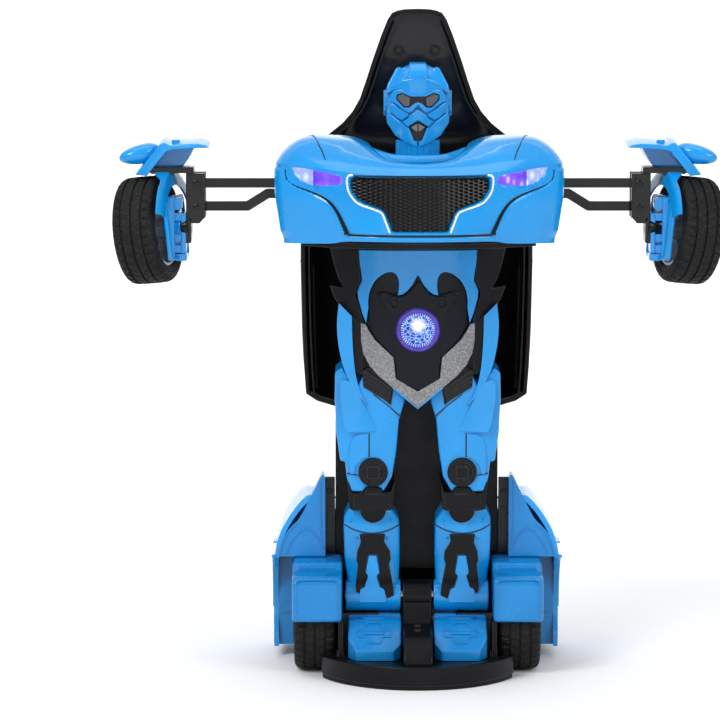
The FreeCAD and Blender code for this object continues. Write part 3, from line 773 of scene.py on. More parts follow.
def nose_skin():
    """Front end in one skin: upright bumper with its recesses, rolled over into the hood."""
    rows = []
    levels = 46
    for x, y, nx, ny in nose_outline():
        low, top = wall_bottom(x), wall_top(x)
        column = []
        for k in range(levels + 1):
            z = lerp(low, top, k / levels)
            under_sides = 2.3 * (1 - ease((z - 219) / 26)) * ease((abs(x) - 20) / 45)
            tuck = under_sides + 1.2 * (1 - ease((z - 221) / 6))
            front = ease((-48 - y) / 6)
            push = wall_push(x, z) * front - tuck
            column.append((x + nx * push, y + ny * push, z))
        reach_x, reach_y = x * 0.15, NOSE_REAR
        run = math.hypot(reach_x - x, reach_y - y)
        for t in [0.012, 0.025, 0.04, 0.06, 0.08, 0.105, 0.135, 0.17, 0.21, 0.25] + \
                 [0.3 + 0.05 * k for k in range(15)]:
            hx, hy = lerp(x, reach_x, t), lerp(y, reach_y, t)
            column.append((hx, hy, hood_height(hx, hy, top, run * t)))
        rows.append(column)
    return sheet(rows, thick=-2.0)


def on_bow(outline, lift, thick, grid=1.5, bevel=0.25):
    """Plate whose front follows the bumper's bow, lift in front of it."""
    return prism(outline, 0.0, thick, bevel=bevel, grid=grid, warp=lambda x, y, z: (x, bow(x) - lift + y, z))


def hood_point(x, y, lift=0.0):
    """Point on the hood above a plan position, found along its fan line."""
    low, high = 0.0, 1.0
    for _ in range(30):
        t = (low + high) / 2
        sx = x / (1 - t * 0.85)
        sy = (y - NOSE_REAR * t) / (1 - t)
        edge = bow(min(abs(sx), NOSE_HALF)) if abs(sx) < 66 else -1e3
        if sy < edge or abs(sx) > NOSE_HALF:
            high = t
        else:
            low = t
    sx, sy = x / (1 - low * 0.85), (y - NOSE_REAR * low) / (1 - low)
    run = math.hypot(sx * 0.15 - sx, NOSE_REAR - sy) * low
    return (x, y, hood_height(x, y, wall_top(sx), run) + lift)


HOOD_RIM = spline([(24.6, -26), (24.4, -32), (22.6, -46), (20.2, -58), (16.8, -68), (11.4, -75.4),
                   (5.0, -78.0), (0, -78.4)], 6)


def grille_mesh():
    """Honeycomb set back in the bumper, on a dark backing."""
    bm = bmesh.new()
    column, row = 2.4, 1.72
    for i in range(-14, 15):
        for j in range(17):
            cx, cz = i * column, 226.2 + j * row + (i % 2) * row / 2
            if gap(GRILLE, cx, cz) > -0.7:
                continue
            outer, inner, back = [], [], []
            for dx, dz in ((1.6, 0), (0.8, 0.86), (-0.8, 0.86), (-1.6, 0), (-0.8, -0.86), (0.8, -0.86)):
                x, z = cx + dx, cz + dz
                outer.append(bm.verts.new((x, bow(x) + 1.1 + 0.2 * (dz > 0), z)))
                x, z = cx + dx * 0.66, cz + dz * 0.6
                inner.append(bm.verts.new((x, bow(x) + 1.25, z)))
                back.append(bm.verts.new((x, bow(x) + 3.0, z)))
            for k in range(6):
                bm.faces.new((outer[k - 1], outer[k], inner[k], inner[k - 1]))
                bm.faces.new((inner[k - 1], inner[k], back[k], back[k - 1]))
    bmesh.ops.remove_doubles(bm, verts=bm.verts[:], dist=0.02)
    bmesh.ops.recalc_face_normals(bm, faces=bm.faces[:])
    return join(bm, on_bow(GRILLE, -3.05, 0.5, bevel=0))


def build_nose():
    """Bumper, hood, grille, lamps, seams and the lip round the neck opening."""
    plan = HOOD_RIM + flip(HOOD_RIM[::-1])[1:]
    arch = [(-15, 205), (-15, 257.2), (-42, 257.2)] + spline([(-46, 256.8), (-52, 252.0), (-56.5, 242),
                                                              (-58, 230), (-58, 205)], 5)
    def arch_cutter():
        return prism(arch, 60, 80, plane="yz", bevel=0)
    piece("nose_body", nose_skin(), BLUE, "nose", ("fascia", "hood"), smooth=32,
          cutters=[prism(plan, 236, 300, plane="xy", bevel=0), arch_cutter(), mirrored(arch_cutter())])
    lip = []
    for x, y in [(x, min(y, -30.7)) for x, y in plan]:
        bottom = hood_point(x * 0.97, y, -5.5)
        top = hood_point(x, y, -0.1)
        lip.append([top, lerp(Vector(top), Vector(bottom), 0.3)[:], bottom])
    piece("hood_lip", sheet(lip, thick=1.1), BLUE, "nose")
    piece("grille_honeycomb", grille_mesh(), BLACK_GLOSS, "nose", ("grille",), smooth=25)
    piece("grille_trim", pair(lambda: on_bow(strip(TRIM_LINE, 1.0), 0.5, 2.0, grid=1.2, bevel=0.3)), TRIM,
          "nose")
    seam_end = [(34.8, 225.7), (28, 225.5), (12, 225.4), (0, 225.4)]
    piece("bumper_seams", join(
        on_bow(strip(SEAM, SEAM_WIDTH), 0.35, 1.6, grid=1.2, bevel=0.2),
        mirrored(on_bow(strip(SEAM, SEAM_WIDTH), 0.35, 1.6, grid=1.2, bevel=0.2)),
        on_bow(strip([(-x, z) for x, z in seam_end] + seam_end[-2::-1], 0.9), 0.35, 1.4, bevel=0.2)),
        BLACK_GLOSS, "nose")
    top_trim = spline([(-31.6, 253.9), (-16, 253.9), (0, 253.9), (16, 253.9), (31.6, 253.9)], 8)
    piece("grille_brow", on_bow(strip(top_trim, 0.7), 0.25, 1.4, bevel=0.2), BLACK_GLOSS, "nose")

    def on_lamp(x, y, z):
        """Lens surface: sunk in the bumper at its ends, fuller in between."""
        return (x, bow(x) + 0.55 + y - 0.5 * ease((x - 37) / 6) * ease((62 - x) / 6), z)

    def lens():
        return prism(HEADLIGHT, 0, 1.3, bevel=0.3, grid=1.4, warp=on_lamp)
    lens_split = 51.0
    for name, keep, mat in (("headlight_inner", lambda x: min(x, lens_split), LED_VIOLET),
                            ("headlight_outer", lambda x: max(x, lens_split), LED_CLEAR)):
        def half(keep=keep):
            bm = lens()
            for v in bm.verts:
                v.co.x = keep(v.co.x)
                v.co.y = min(v.co.y, bow(v.co.x) + 2.0)
            bmesh.ops.remove_doubles(bm, verts=bm.verts[:], dist=1e-3)
            bmesh.ops.dissolve_degenerate(bm, edges=bm.edges[:], dist=1e-4)
            return bm
        piece(name, pair(half), mat, "nose", ("headlights",) if keep(0) == 0 else ())

    def hood_line(points, width):
        """Dark shut line lying on the hood."""
        path = spline([hood_point(x, y, 0.02) for x, y in points], 6)
        return tube(path, width, 6)
    shut = [(53.2, -31), (52.6, -40), (50.8, -50), (48.4, -60), (46.4, -67), (45.2, -72.4)]
    piece("hood_shut_lines", pair(lambda: hood_line(shut, 0.28)), BLACK_GLOSS, "nose")


build_nose()


# -------------------------------------------------------------------- head

def loft_rings(levels, n=40, power=2.5):
    """Closed body through (z, half width, front y, back y) levels with rounded-square sections."""
    rows = []
    for z, half_w, front, back in levels:
        ring = []
        for k in range(n):
            a = 2 * math.pi * k / n
            c, s = math.cos(a), math.sin(a)
            e = 2 / power
            ring.append((half_w * math.copysign(abs(c) ** e, c),
                         lerp(front, back, 0.5 + 0.5 * math.copysign(abs(s) ** e, s)), z))
        rows.append(ring)
    return capped(sheet(rows, wrap=True))


def face_plate(half, front, back, bevel=0.5, curve=0.02):
    """Symmetric plate on the face, bent back towards the ears."""
    return prism(both(half), front, back, bevel=bevel, grid=1.5, warp=bent(curve))


def build_head():
    """Helmet with its visor and face plates, the fluted neck and the guard in front of it."""
    skull = loft_rings([(262.9, 3.2, -11.5, -5.0), (265.0, 6.2, -12.2, 0), (268.6, 10.9, -12.0, 5.5),
                        (272.5, 13.6, -11.6, 9.0), (277.0, 15.2, -11.2, 11.5), (282.0, 16.1, -10.9, 13.0),
                        (287.0, 16.4, -10.7, 13.3), (291.0, 15.7, -10.4, 12.9), (295.0, 13.9, -9.4, 11.4),
                        (298.5, 11.6, -7.6, 9.0), (301.2, 8.6, -5.2, 6.0), (302.8, 5.0, -2.0, 3.0)])
    crest = prism([(-11.0, 296.4), (-9.4, 300.4), (-6.0, 303.6), (-1.0, 304.4), (4.0, 303.2), (8.6, 299.6),
                   (12.0, 294.2), (13.4, 288.0), (11.0, 288.0), (2.0, 298.0), (-8.0, 293.5)], -5.0, 5.0,
                  plane="yz", bevel=0.9, segments=3)
    for v in crest.verts:
        v.co.x *= lerp(1.06, 0.86, ease((v.co.z - 292) / 12))
    def horn():
        return prism([(6.9, 294.0), (7.3, 300.6), (8.6, 302.0), (10.6, 301.6), (15.0, 293.2), (15.9, 288.5),
                      (11, 290)], -7.0, 5.5, bevel=0.8, segments=3,
                     warp=lambda x, y, z: (x, y * lerp(1.0, 0.6, ease((z - 290) / 12)) - 1.0, z))
    def ear():
        return join(lathe([(13.8, 0), (13.8, 5.6), (16.1, 5.6), (16.7, 5.0), (16.7, 3.6), (16.2, 3.4),
                           (16.2, 0)], "x", (0, 1.0, 284.0), 24),
                    prism(rounded(-0.9, 2.9, 277.6, 290.4, 1.2), 15.2, 16.9, plane="yz", bevel=0.4))
    brow = face_plate([(0, 296.9), (4.0, 296.7), (7.6, 295.8), (11.0, 294.4), (14.2, 292.4), (14.6, 289.0),
                       (11.8, 291.2), (7.8, 290.9), (4.0, 288.9), (0, 288.6)], -13.6, -8.0, curve=0.022)
    goggle_hole = [(0, 288.0), (3.6, 288.0), (7.9, 289.7), (10.7, 288.7), (10.7, 286.3), (6.9, 282.4),
                   (4.1, 282.4), (2.0, 284.3), (0, 285.1)]
    frame_half = [(0, 289.2), (3.9, 289.2), (7.9, 291.2), (11.8, 291.2), (13.4, 289.0), (13.2, 285.2),
                  (10.2, 283.6), (7.2, 281.2), (4.6, 279.6), (2.6, 280.6), (0, 283.6)]
    cheek = [(13.9, 285.2), (13.3, 280.4), (11.2, 277.6), (8.0, 276.0), (5.2, 277.8), (4.4, 279.2),
             (6.2, 280.2), (9.0, 281.6), (11.4, 283.6)]
    def cheek_plate():
        return prism(cheek, -13.5, -8.0, bevel=0.45, grid=1.5, warp=bent(0.02))
    snout = face_plate([(0, 281.6), (1.8, 280.4), (4.0, 278.9), (5.0, 277.2), (7.9, 275.4), (5.4, 272.9),
                        (4.2, 273.4), (1.6, 275.2), (0, 276.1)], -15.0, -9.0, bevel=0.5, curve=0.04)
    def jaw():
        return prism([(5.6, 272.6), (8.4, 275.2), (14.4, 279.6), (15.6, 278.0), (15.2, 274.6), (11.3, 268.6),
                      (6.6, 265.4), (1.0, 262.7), (0.35, 262.7), (0.35, 264.2), (1.9, 266.4), (4.4, 272.6)],
                     -14.2, -6.5, bevel=0.6, grid=1.6, warp=bent(0.022))
    piece("helmet", join(skull, crest, pair(horn), pair(ear)), BLUE, "head", ("head_shell",))
    piece("helmet_brow", brow, BLUE, "head")
    hole = prism(both(goggle_hole), -20, -11.9, bevel=0, grid=1.5, warp=bent(0.022))
    piece("visor_frame", face_plate(frame_half, -14.0, -8.5, bevel=0.5, curve=0.022), BLUE, "head",
          cutters=[hole])
    piece("visor_band", face_plate([(0, 288.2), (3.6, 288.2), (7.9, 289.9), (10.9, 288.8), (10.9, 286.2),
                                    (7.0, 282.2), (4.1, 282.2), (2.0, 284.1), (0, 284.9)], -12.5, -9.0,
                                   bevel=0, curve=0.022), BLACK_GLOSS, "head", ("face_mask",))
    def eye():
        return prism([(3.9, 287.4), (7.9, 289.2), (10.3, 288.2), (10.3, 286.6), (6.8, 283.0), (4.4, 283.0)],
                     -13.0, -12.0, bevel=0.3, warp=bent(0.022))
    piece("visor_lenses", pair(eye), SMOKE, "head")
    piece("cheek_plates", pair(cheek_plate), BLUE, "head")
    piece("snout_guard", snout, BLUE, "head")
    piece("jaw_guards", pair(jaw), BLUE, "head")
    vent = face_plate([(0, 275.7), (4.7, 272.9), (2.0, 266.4), (0.5, 264.0), (0, 264.0)], -13.6, -10.0,
                      bevel=0.25, curve=0.03)
    piece("chin_vent", vent, BLACK_GLOSS, "head")
    def facet():
        return prism([(0.25, 274.6), (3.4, 272.8), (1.6, 271.2), (0.25, 270.6)], -13.9, -13.4, bevel=0.15)
    piece("chin_vent_facets", pair(facet), SMOKE, "head")

    steps = 80
    neck_r, groove, neck_y = 10.95, 0.55, -3
    neck = [(2 * math.pi * k / steps, neck_r - (groove if k % 4 == 0 else 0.0)) for k in range(steps)]
    rows = []
    for z in (205, 206, 225, 262, 266):
        rows.append([(r * math.sin(a), neck_y - r * math.cos(a), z) for a, r in neck])
    piece("neck", capped(sheet(rows, wrap=True)), BLUE, "head", smooth=25)

    rows = []
    for k in range(25):
        x = lerp(-23.5, 23.5, k / 24)
        y = -24.0 + 7.0 * (x / 23.5) ** 2
        top = soft_table([(0, 258.4), (12, 258.8), (18, 260.2), (23.5, 262.0)], abs(x))
        rows.append([(x, y + 1.6, 250.0), (x, y + 0.4, top - 3.2), (x, y, top - 2.0), (x, y + 0.9, top - 0.4),
                     (x, y + 1.8, top), (x, y + 2.6, top - 0.2)])
    piece("neck_guard", sheet(rows, thick=1.2), BLUE, "upper_body")


build_head()


# ------------------------------------------------------------- chest and waist

def chest_panel(outline, front, back, bevel=0.4):
    """Panel of the chest, which bows back towards the sides."""
    return prism(outline, front, back, bevel=bevel, grid=2.5, warp=bent(0.0042))


EAR = spline([(24.4, 184.0), (24.4, 188.5), (23.4, 193.2), (20.9, 197.8), (17.3, 200.8), (13.6, 202.0),
              (10.9, 200.9), (9.6, 197.8), (9.6, 194.0), (10.1, 190.4)], 4)


def build_chest():
    """Chest plate, shield, silver V, lamp, wings and waist."""
    plate_half = [(0, 212.9), (29.9, 212.9), (29.2, 208), (28.1, 202), (27.6, 197.6), (28.9, 195.0),
                  (29.9, 192.0), (29.4, 188.4), (27.6, 181.6), (25.6, 176.3)]
    plate_half += EAR + [(7.6, 191.0), (5.2, 192.8), (2.6, 196.0), (0.8, 199.4), (0, 200.6)]
    piece("chest_plate_crowned", chest_panel(both(plate_half), -24.6, -21.0, 0.5), BLUE, "upper_body",
          ("chest_plate",))
    base_half = [(0, 206), (24.5, 206), (28.6, 192), (29.4, 180), (27.8, 170), (25.4, 162), (21, 154),
                 (17, 150.8), (0, 150.8)]
    piece("chest_base", chest_panel(both(base_half), -21.2, -17.6, 0.4), BLACK_SHIELD, "upper_body",
          ("chest_shield",))
    ear_half = EAR[::-1] + [(24.3, 178.0), (22.2, 171.2), (17.6, 166.0), (12.0, 159.8), (8.0, 162.0),
                            (8.0, 188.0)]
    def ear_panel():
        return chest_panel(ear_half, -23.0, -20.8, 0.45)
    piece("chest_ears", pair(ear_panel), BLACK_SHIELD, "upper_body")
    shield_half = [(0, 198.4), (1.0, 196.6), (3.0, 193.8), (5.4, 191.6), (8.4, 190.6), (12.6, 191.4),
                   (17.0, 192.6), (20.6, 191.6), (14.6, 180.4), (11.0, 160.0), (10.6, 149.2), (0, 143.0)]
    piece("chest_shield_raised", chest_panel(both(shield_half), -24.2, -21.0, 0.8), BLACK_SHIELD,
          "upper_body")
    def boss():
        ring = lathe([(-24.9, 2.3), (-25.1, 2.6), (-25.1, 3.2), (-24.9, 3.5), (-23.6, 3.6), (-23.6, 2.2)],
                     "y", (11.6, 0.5, 186.9), 28)
        pin = lathe([(-24.6, 0), (-24.6, 1.4), (-24.3, 1.7), (-23.4, 1.7), (-23.4, 0)], "y",
                    (11.6, 0.5, 186.9), 20)
        return join(ring, pin)
    piece("chest_bosses", pair(boss), BLACK_SHIELD, "upper_body")
    chevron_half = [(0, 142.7), (10.9, 149.2), (12.0, 159.6), (17.2, 164.4), (21.4, 168.4), (24.0, 172.4),
                    (25.9, 176.0), (28.4, 176.4), (28.3, 168.0), (27.0, 161.2), (23.8, 155.0), (19.6, 150.4),
                    (13.6, 145.4), (0, 134.6)]
    piece("chevron_flaked", chest_panel(both(chevron_half), -23.8, -21.1, 0.35), FLAKE, "upper_body",
          ("chest_chevron",))
    edge = [(12.6, 144.6), (0, 134.2), (-12.6, 144.6)]
    piece("chevron_edge", chest_panel(strip(edge, 0.6), -24.0, -21.3, 0.15), BLUE, "upper_body")

    cx, cz = LAMP
    bezel = lathe([(-22.4, 8.0), (-24.7, 8.0), (-25.3, 8.5), (-25.6, 9.3), (-25.4, 10.3), (-24.6, 10.9),
                   (-22.4, 10.9)], "y", (cx, 0, cz), 64)
    piece("lamp_bezel", bezel, RING_GLOW, "upper_body", ("chest_bezel",))
    teeth = []
    tooth_count = 44
    for k in range(tooth_count):
        a = 2 * math.pi * k / tooth_count
        tooth = prism(rounded(-0.28, 0.28, 7.1, 8.5, 0.15, 2), -25.5, -24.0, bevel=0.1)
        teeth.append(moved(tooth, Matrix.Translation((cx, 0, cz)) @ Matrix.Rotation(a, 4, "Y")))
    piece("lamp_teeth", join(*teeth), LED_CLEAR, "upper_body")
    dome = []
    dome_r, rings, facets = 7.6, 8, 36
    for ring in range(rings + 1):
        r = dome_r * ring / rings
        y = -27.9 + 3.2 * (r / dome_r) ** 2
        turns = [2 * math.pi * k / facets for k in range(facets)]
        dome.append([(cx + r * math.sin(a), y + 0.16 * ((k + ring) % 2), cz + r * math.cos(a))
                     for k, a in enumerate(turns)])
    dome.append([(x, -23.6, z) for x, _, z in dome[-1]])
    piece("lamp_lens_faceted", capped(sheet(dome, wrap=True)), LENS, "upper_body", ("chest_lens",),
          smooth=8)

    def wing():
        outline = [(29.0, 213.2)]
        outline += spline([(43.4, 213.4), (41.8, 207.0), (39.6, 199.6), (36.9, 193.6)], 4)
        outline += spline([(43.4, 194.6), (41.0, 188.4), (37.2, 183.4), (31.8, 179.2), (26.6, 175.8)], 4)
        outline += [(29.0, 184.0), (31.0, 190.0), (30.2, 194.0), (28.4, 198.0)]
        return prism(outline, -21.6, -13.4, bevel=0.5, grid=3.0,
                     warp=lambda x, y, z: (x, y + 0.30 * max(0.0, x - 28) * (1 if y < -17 else 0.1), z))
    piece("shoulder_wings_swept", pair(wing), BLACK, "upper_body", ("shoulder_wings",))

    def waist():
        outline = spline([(39.0, 186.4), (39.9, 178.0), (39.7, 170.0), (38.6, 162.0), (36.6, 154.0),
                          (33.6, 147.4), (29.4, 140.6), (24.6, 135.4)], 4)
        outline += spline([(24.6, 135.4), (28.2, 142.0), (30.6, 150.4), (31.8, 160.0), (32.4, 170.0),
                           (32.6, 180.0)], 4)[1:]
        return prism(outline, -22.6, -8.0, bevel=0.6, grid=3.0,
                     warp=lambda x, y, z: (x, y + 0.10 * max(0, x - 33), z))
    piece("waist_blades", pair(waist), BLUE, "upper_body", ("waist_strips",))

    def side_panel():
        outline = [(27.0, 178.0), (32.6, 180.0), (32.2, 166.0), (31.0, 152.6), (27.4, 150.8), (27.0, 160.0)]
        return prism(outline, -20.4, -16.0, bevel=0.3)
    piece("waist_panels", pair(side_panel), BLACK, "upper_body")

    def ribs():
        outline = [(11.6, 145.6), (13.2, 135.6), (17.4, 138.8), (26.9, 144.6), (27.6, 152.6), (23.6, 154.6),
                   (18.6, 149.6)]
        base = prism(outline, -21.9, -20.6, bevel=0.25)
        bars = []
        for k in range(4):
            t = k / 3
            a = (lerp(13.4, 14.6, t), lerp(143.4, 137.8, t))
            b = (lerp(26.6, 26.2, t), lerp(152.2, 144.8, t))
            bars.append(prism(strip([a, b], 0.9), -22.4, -21.6, bevel=0.2))
        return join(base, *bars)
    piece("hip_ribs", pair(ribs), BLACK, "upper_body")


build_chest()


# -------------------------------------------------------------------- legs

KNEE = (22.1, 102.0)
ANKLE = (0, -10.0, 38.0)


def rivet(x, z, front, r=0.9):
    """Small domed stud on a front face."""
    return lathe([(front - 0.45, 0), (front - 0.35, r * 0.6), (front, r), (front + 0.6, r),
                  (front + 0.6, 0)], "y", (x, 0, z), 14)


def above_gearbox(x, y, z):
    """Low down, the front stays back where it passes over the gearbox as the body tips forward."""
    return (x, max(y, lerp(-18.2, -19.3, ease((z - 45) / 3))), z)


def build_legs():
    """Thighs, knees and shins with their panels and creases."""
    def thigh():
        outline = [(9.2, 128.0), (6.4, 137.0), (6.2, 146.0), (10.0, 149.6), (27.0, 150.4), (30.6, 143.4),
                   (37.6, 154.2), (40.9, 151.6), (41.2, 139.0), (40.4, 121.5), (38.3, 107.2), (35.9, 107.0),
                   (35.2, 99.0), (32.6, 92.2), (27.4, 92.0), (25.6, 94.4), (19.0, 94.4), (17.0, 92.0),
                   (12.6, 99.6), (10.6, 112.0)]
        def shape(x, y, z):
            if y > -12:
                return (x, y, z)
            round_in = 0.35 * max(0.0, 14 - x) + 0.16 * max(0.0, x - 33) ** 1.2
            return (x, y + round_in + 0.02 * max(0.0, 112 - z), z)
        return prism(outline, -21.2, 11.8, bevel=0.9, segments=3, grid=3.5, warp=shape)
    for side, make in SIDES:
        piece("thigh_block_" + side, make(thigh()), BLUE, "upper_body", ("thigh_" + side,),
              smooth=42)

    def wedge():
        bm = bmesh.new()
        pts = [(36.6, 148.6, -22.0), (32.4, 147.0, -22.6), (27.6, 138.0, -22.6), (19.8, 122.4, -21.2),
               (34.8, 122.4, -24.6), (36.6, 126.6, -24.2), (38.4, 138.6, -23.4), (38.6, 147.0, -22.4)]
        front = [bm.verts.new((x, y, z)) for x, z, y in pts]
        back = [bm.verts.new((x, -20.6, z)) for x, z, y in pts]
        bm.faces.new(front)
        bm.faces.new(back[::-1])
        for i in range(len(pts)):
            bm.faces.new((front[i - 1], back[i - 1], back[i], front[i]))
        bmesh.ops.triangulate(bm, faces=[f for f in bm.faces if len(f.verts) > 4])
        return refine(bm, 0.45, 2)
    piece("thigh_wedges", pair(wedge), BLUE, "upper_body", smooth=30)

    def lower_panel():
        outline = [(24.4, 121.2), (24.4, 109.8), (27.2, 108.6), (30.6, 105.2), (31.6, 101.0), (33.6, 101.0),
                   (34.2, 108.0), (33.4, 117.0), (31.6, 120.0), (28.6, 121.2)]
        return prism(outline, -21.9, -20.8, bevel=0.4)
    def inner_crease():
        return prism(strip([(24.0, 121.6), (24.0, 109.6)], 0.5), -21.45, -20.9, bevel=0)
    def knee_crease():
        return join(prism(strip([(12.4, 101.2), (15.4, 100.4)], 0.5), -20.2, -18.5, bevel=0, grid=1.0,
                          warp=lambda x, y, z: (x, y + 0.25 * (16 - x), z)),
                    prism(strip([(29.6, 100.4), (35.0, 101.4)], 0.5), -21.5, -20.4, bevel=0),
                    prism(strip([(8.4, 129.6), (14.4, 135.2), (22.0, 141.0)], 0.5), -21.5, -20.6, bevel=0,
                          grid=1.0, warp=lambda x, y, z: (x, y + 0.3 * max(0, 13 - x), z)))
    piece("thigh_panels", pair(lower_panel), BLUE, "upper_body")
    piece("thigh_creases", join(pair(inner_crease), pair(knee_crease)), BLACK, "upper_body")

    def knee():
        kx, kz = KNEE
        cap = lathe([(-21.0, 0), (-21.0, 7.3), (-22.6, 7.3), (-23.2, 6.8), (-23.2, 5.4), (-22.7, 5.1),
                     (-22.7, 4.7), (-23.0, 4.4), (-23.3, 4.2), (-23.3, 0)], "y", (kx, 0, kz), 48)
        slot = prism(rounded(kx - 2.9, kx + 2.9, kz - 2.9, kz + 2.9, 0.8, 3), -23.55, -23.1, bevel=0.15)
        clamp = prism([(11.4, 97.0), (12.2, 83.2), (14.0, 82.4), (31.8, 82.4), (33.8, 83.2), (35.0, 97.2),
                       (33.2, 96.6), (32.4, 91.6), (29.0, 91.2), (26.6, 93.6), (18.2, 93.6), (15.8, 91.2),
                       (13.4, 92.0)], -20.4, 11.8, bevel=0.6)
        face = prism(rounded(13.4, 31.6, 83.4, 91.0, 1.2), -22.8, -19.6, bevel=0.6)
        hump = lathe([(-22.2, 0), (-22.2, 3.2), (-21.8, 5.0), (-20.6, 5.8), (-19.0, 5.8), (-19.0, 0)], "y",
                     (kx, 0, 89.4), 32)
        lower = lathe([(-20.2, 0), (-20.2, 5.2), (-19.4, 6.4), (-17.0, 6.4), (-17.0, 0)], "y",
                      (kx, 0, 82.6), 32)
        return join(cap, slot, clamp, face, hump, lower)
    piece("knee_joints", pair(knee), BLACK, "upper_body", ("knee_clamps",))

    def shin():
        outline = [(10.2, 40.0), (9.3, 46.0), (8.7, 60.0), (8.8, 72.5), (9.2, 77.0), (12.8, 82.2),
                   (34.4, 82.2), (36.6, 78.0), (36.9, 73.0), (36.4, 58.0), (35.0, 47.0), (33.6, 40.0)]
        def shape(x, y, z):
            if y > -10:
                return (x, y, z)
            bulge = 0.030 * (x - 22.4) ** 2 * (1 if abs(x - 22.4) > 4 else 0.6)
            top = 0.55 * max(0.0, z - 76)
            return (x, y + bulge + top * 0.4, z)
        body = prism(outline, -17.6, 11.8, bevel=0.9, segments=3, grid=3.0, warp=shape)
        barrel = lathe(disc_profile(8.2, 35.8, 8.0, 0.9), "x", ANKLE, 40)
        return join(body, barrel)
    for side, make in SIDES:
        piece("shin_block_" + side, make(shin()), BLUE, "upper_body", ("shin_" + side,),
              smooth=42)

    def collar():
        kx = KNEE[0] + 0.5
        arc = spline([(8.8, 74.2), (14.0, 71.9), (kx, 70.6), (31.4, 71.9), (36.6, 74.2)], 4)
        return prism(strip(arc, 0.5), -18.0, -15.5, bevel=0, grid=1.5,
                     warp=lambda x, y, z: (x, y + 0.030 * (x - 22.4) ** 2, z))
    piece("shin_creases", pair(collar), BLACK, "upper_body")
    def studs():
        spots = [(12.9, 76.6, -15.0), (33.4, 76.6, -14.4), (15.0, 68.2, -16.1), (30.2, 68.2, -16.0)]
        tongue = prism([(20.4, 59.4), (24.2, 59.4), (25.8, 51.0), (24.6, 49.2), (26.2, 43.2), (28.4, 42.4),
                        (29.0, 35.8), (15.8, 35.8), (16.4, 42.4), (18.8, 43.2), (20.4, 49.2), (18.8, 50.6)],
                       -18.9, -16.4, bevel=0.3, grid=2.0, warp=above_gearbox)
        badge = prism(rounded(18.4, 26.4, 37.4, 39.8, 0.7, 2), -18.36, -17.8, bevel=0.12)
        return join(tongue, badge, *[rivet(x, z, y, 0.8) for x, z, y in spots])
    piece("shin_tongues", pair(studs), BLUE, "upper_body")

    def guard():
        outline = [(16.0, 70.2), (28.8, 70.2), (28.2, 66.0), (30.0, 61.6), (30.4, 57.0), (29.6, 55.0),
                   (30.9, 43.4), (30.4, 40.8), (28.9, 40.2), (28.0, 42.8), (26.2, 43.6), (24.8, 49.2),
                   (26.2, 51.2), (24.6, 60.0), (19.9, 60.0), (18.4, 51.2), (19.8, 49.2), (18.4, 43.6),
                   (16.6, 42.2), (15.2, 37.4), (11.6, 39.2), (11.9, 43.4), (14.2, 55.4), (13.2, 57.6),
                   (13.6, 61.6), (16.6, 66.4)]
        return prism(outline, -19.3, -16.6, bevel=0.4, grid=2.0, warp=above_gearbox)
    piece("shin_guards", pair(guard), BLACK, "upper_body", ("shin_trims",))


build_legs()


# -------------------------------------------------------------- base and car rear

REAR_AT = (51.0, -6.0, 26.5)
FRONT_AT = (133.0, -19.0, 222.5)
REAR_AXLE = (0, -6.0, 26.5)
STAND_Y = -10


def screw_head(x, z, front, r=1.9):
    """Cross-slot screw on a face towards -Y."""
    head = lathe([(front, 0), (front, r * 0.8), (front + 0.25, r), (front + 0.9, r), (front + 0.9, 0)], "y",
                 (x, 0, z), 20)
    long, short = r * 0.6, 0.2
    cross = [prism(rect(x - a, x + a, z - b, z + b), front - 0.12, front + 0.1, bevel=0)
             for a, b in ((long, short), (short, long))]
    return join(head, join(*cross))


def stand_arc(radius, half_angle):
    """Front arc about the stand's centre, from -X to +X, a point every two degrees."""
    turns = [math.radians(a) for a in range(-half_angle, half_angle + 1, 2)]
    return [(radius * math.sin(a), STAND_Y - radius * math.cos(a)) for a in turns]


def build_stand():
    """Half-round plate that the toy stands on."""
    arc = stand_arc(52, 67)
    inner = stand_arc(46.4, 64)
    rim_band = prism(arc + inner[::-1], 2.2, 11.6, plane="xy", bevel=0.8, segments=3)
    def scaled(points, factor):
        return [(x * factor, STAND_Y + (y - STAND_Y) * factor) for x, y in points]
    under = scaled(arc, 0.985)
    foot_band = prism(under + [(47, -30.2), (-47, -30.2)], 0, 2.6, plane="xy", bevel=0.4)
    deck = prism(scaled(inner, 1.01), 2.0, 10.4, plane="xy", bevel=0)
    step = prism(strip(stand_arc(44.6, 62), 0.7), 10.3, 10.7, plane="xy", bevel=0.15)
    tongue = prism(rect(-36.5, 36.5, -30.5, 8), 0, 7.8, plane="xy", bevel=0.6)
    piece("stand", join(rim_band, foot_band, deck, step, tongue), BLACK, "base", ("stand_plate",),
          smooth=35)


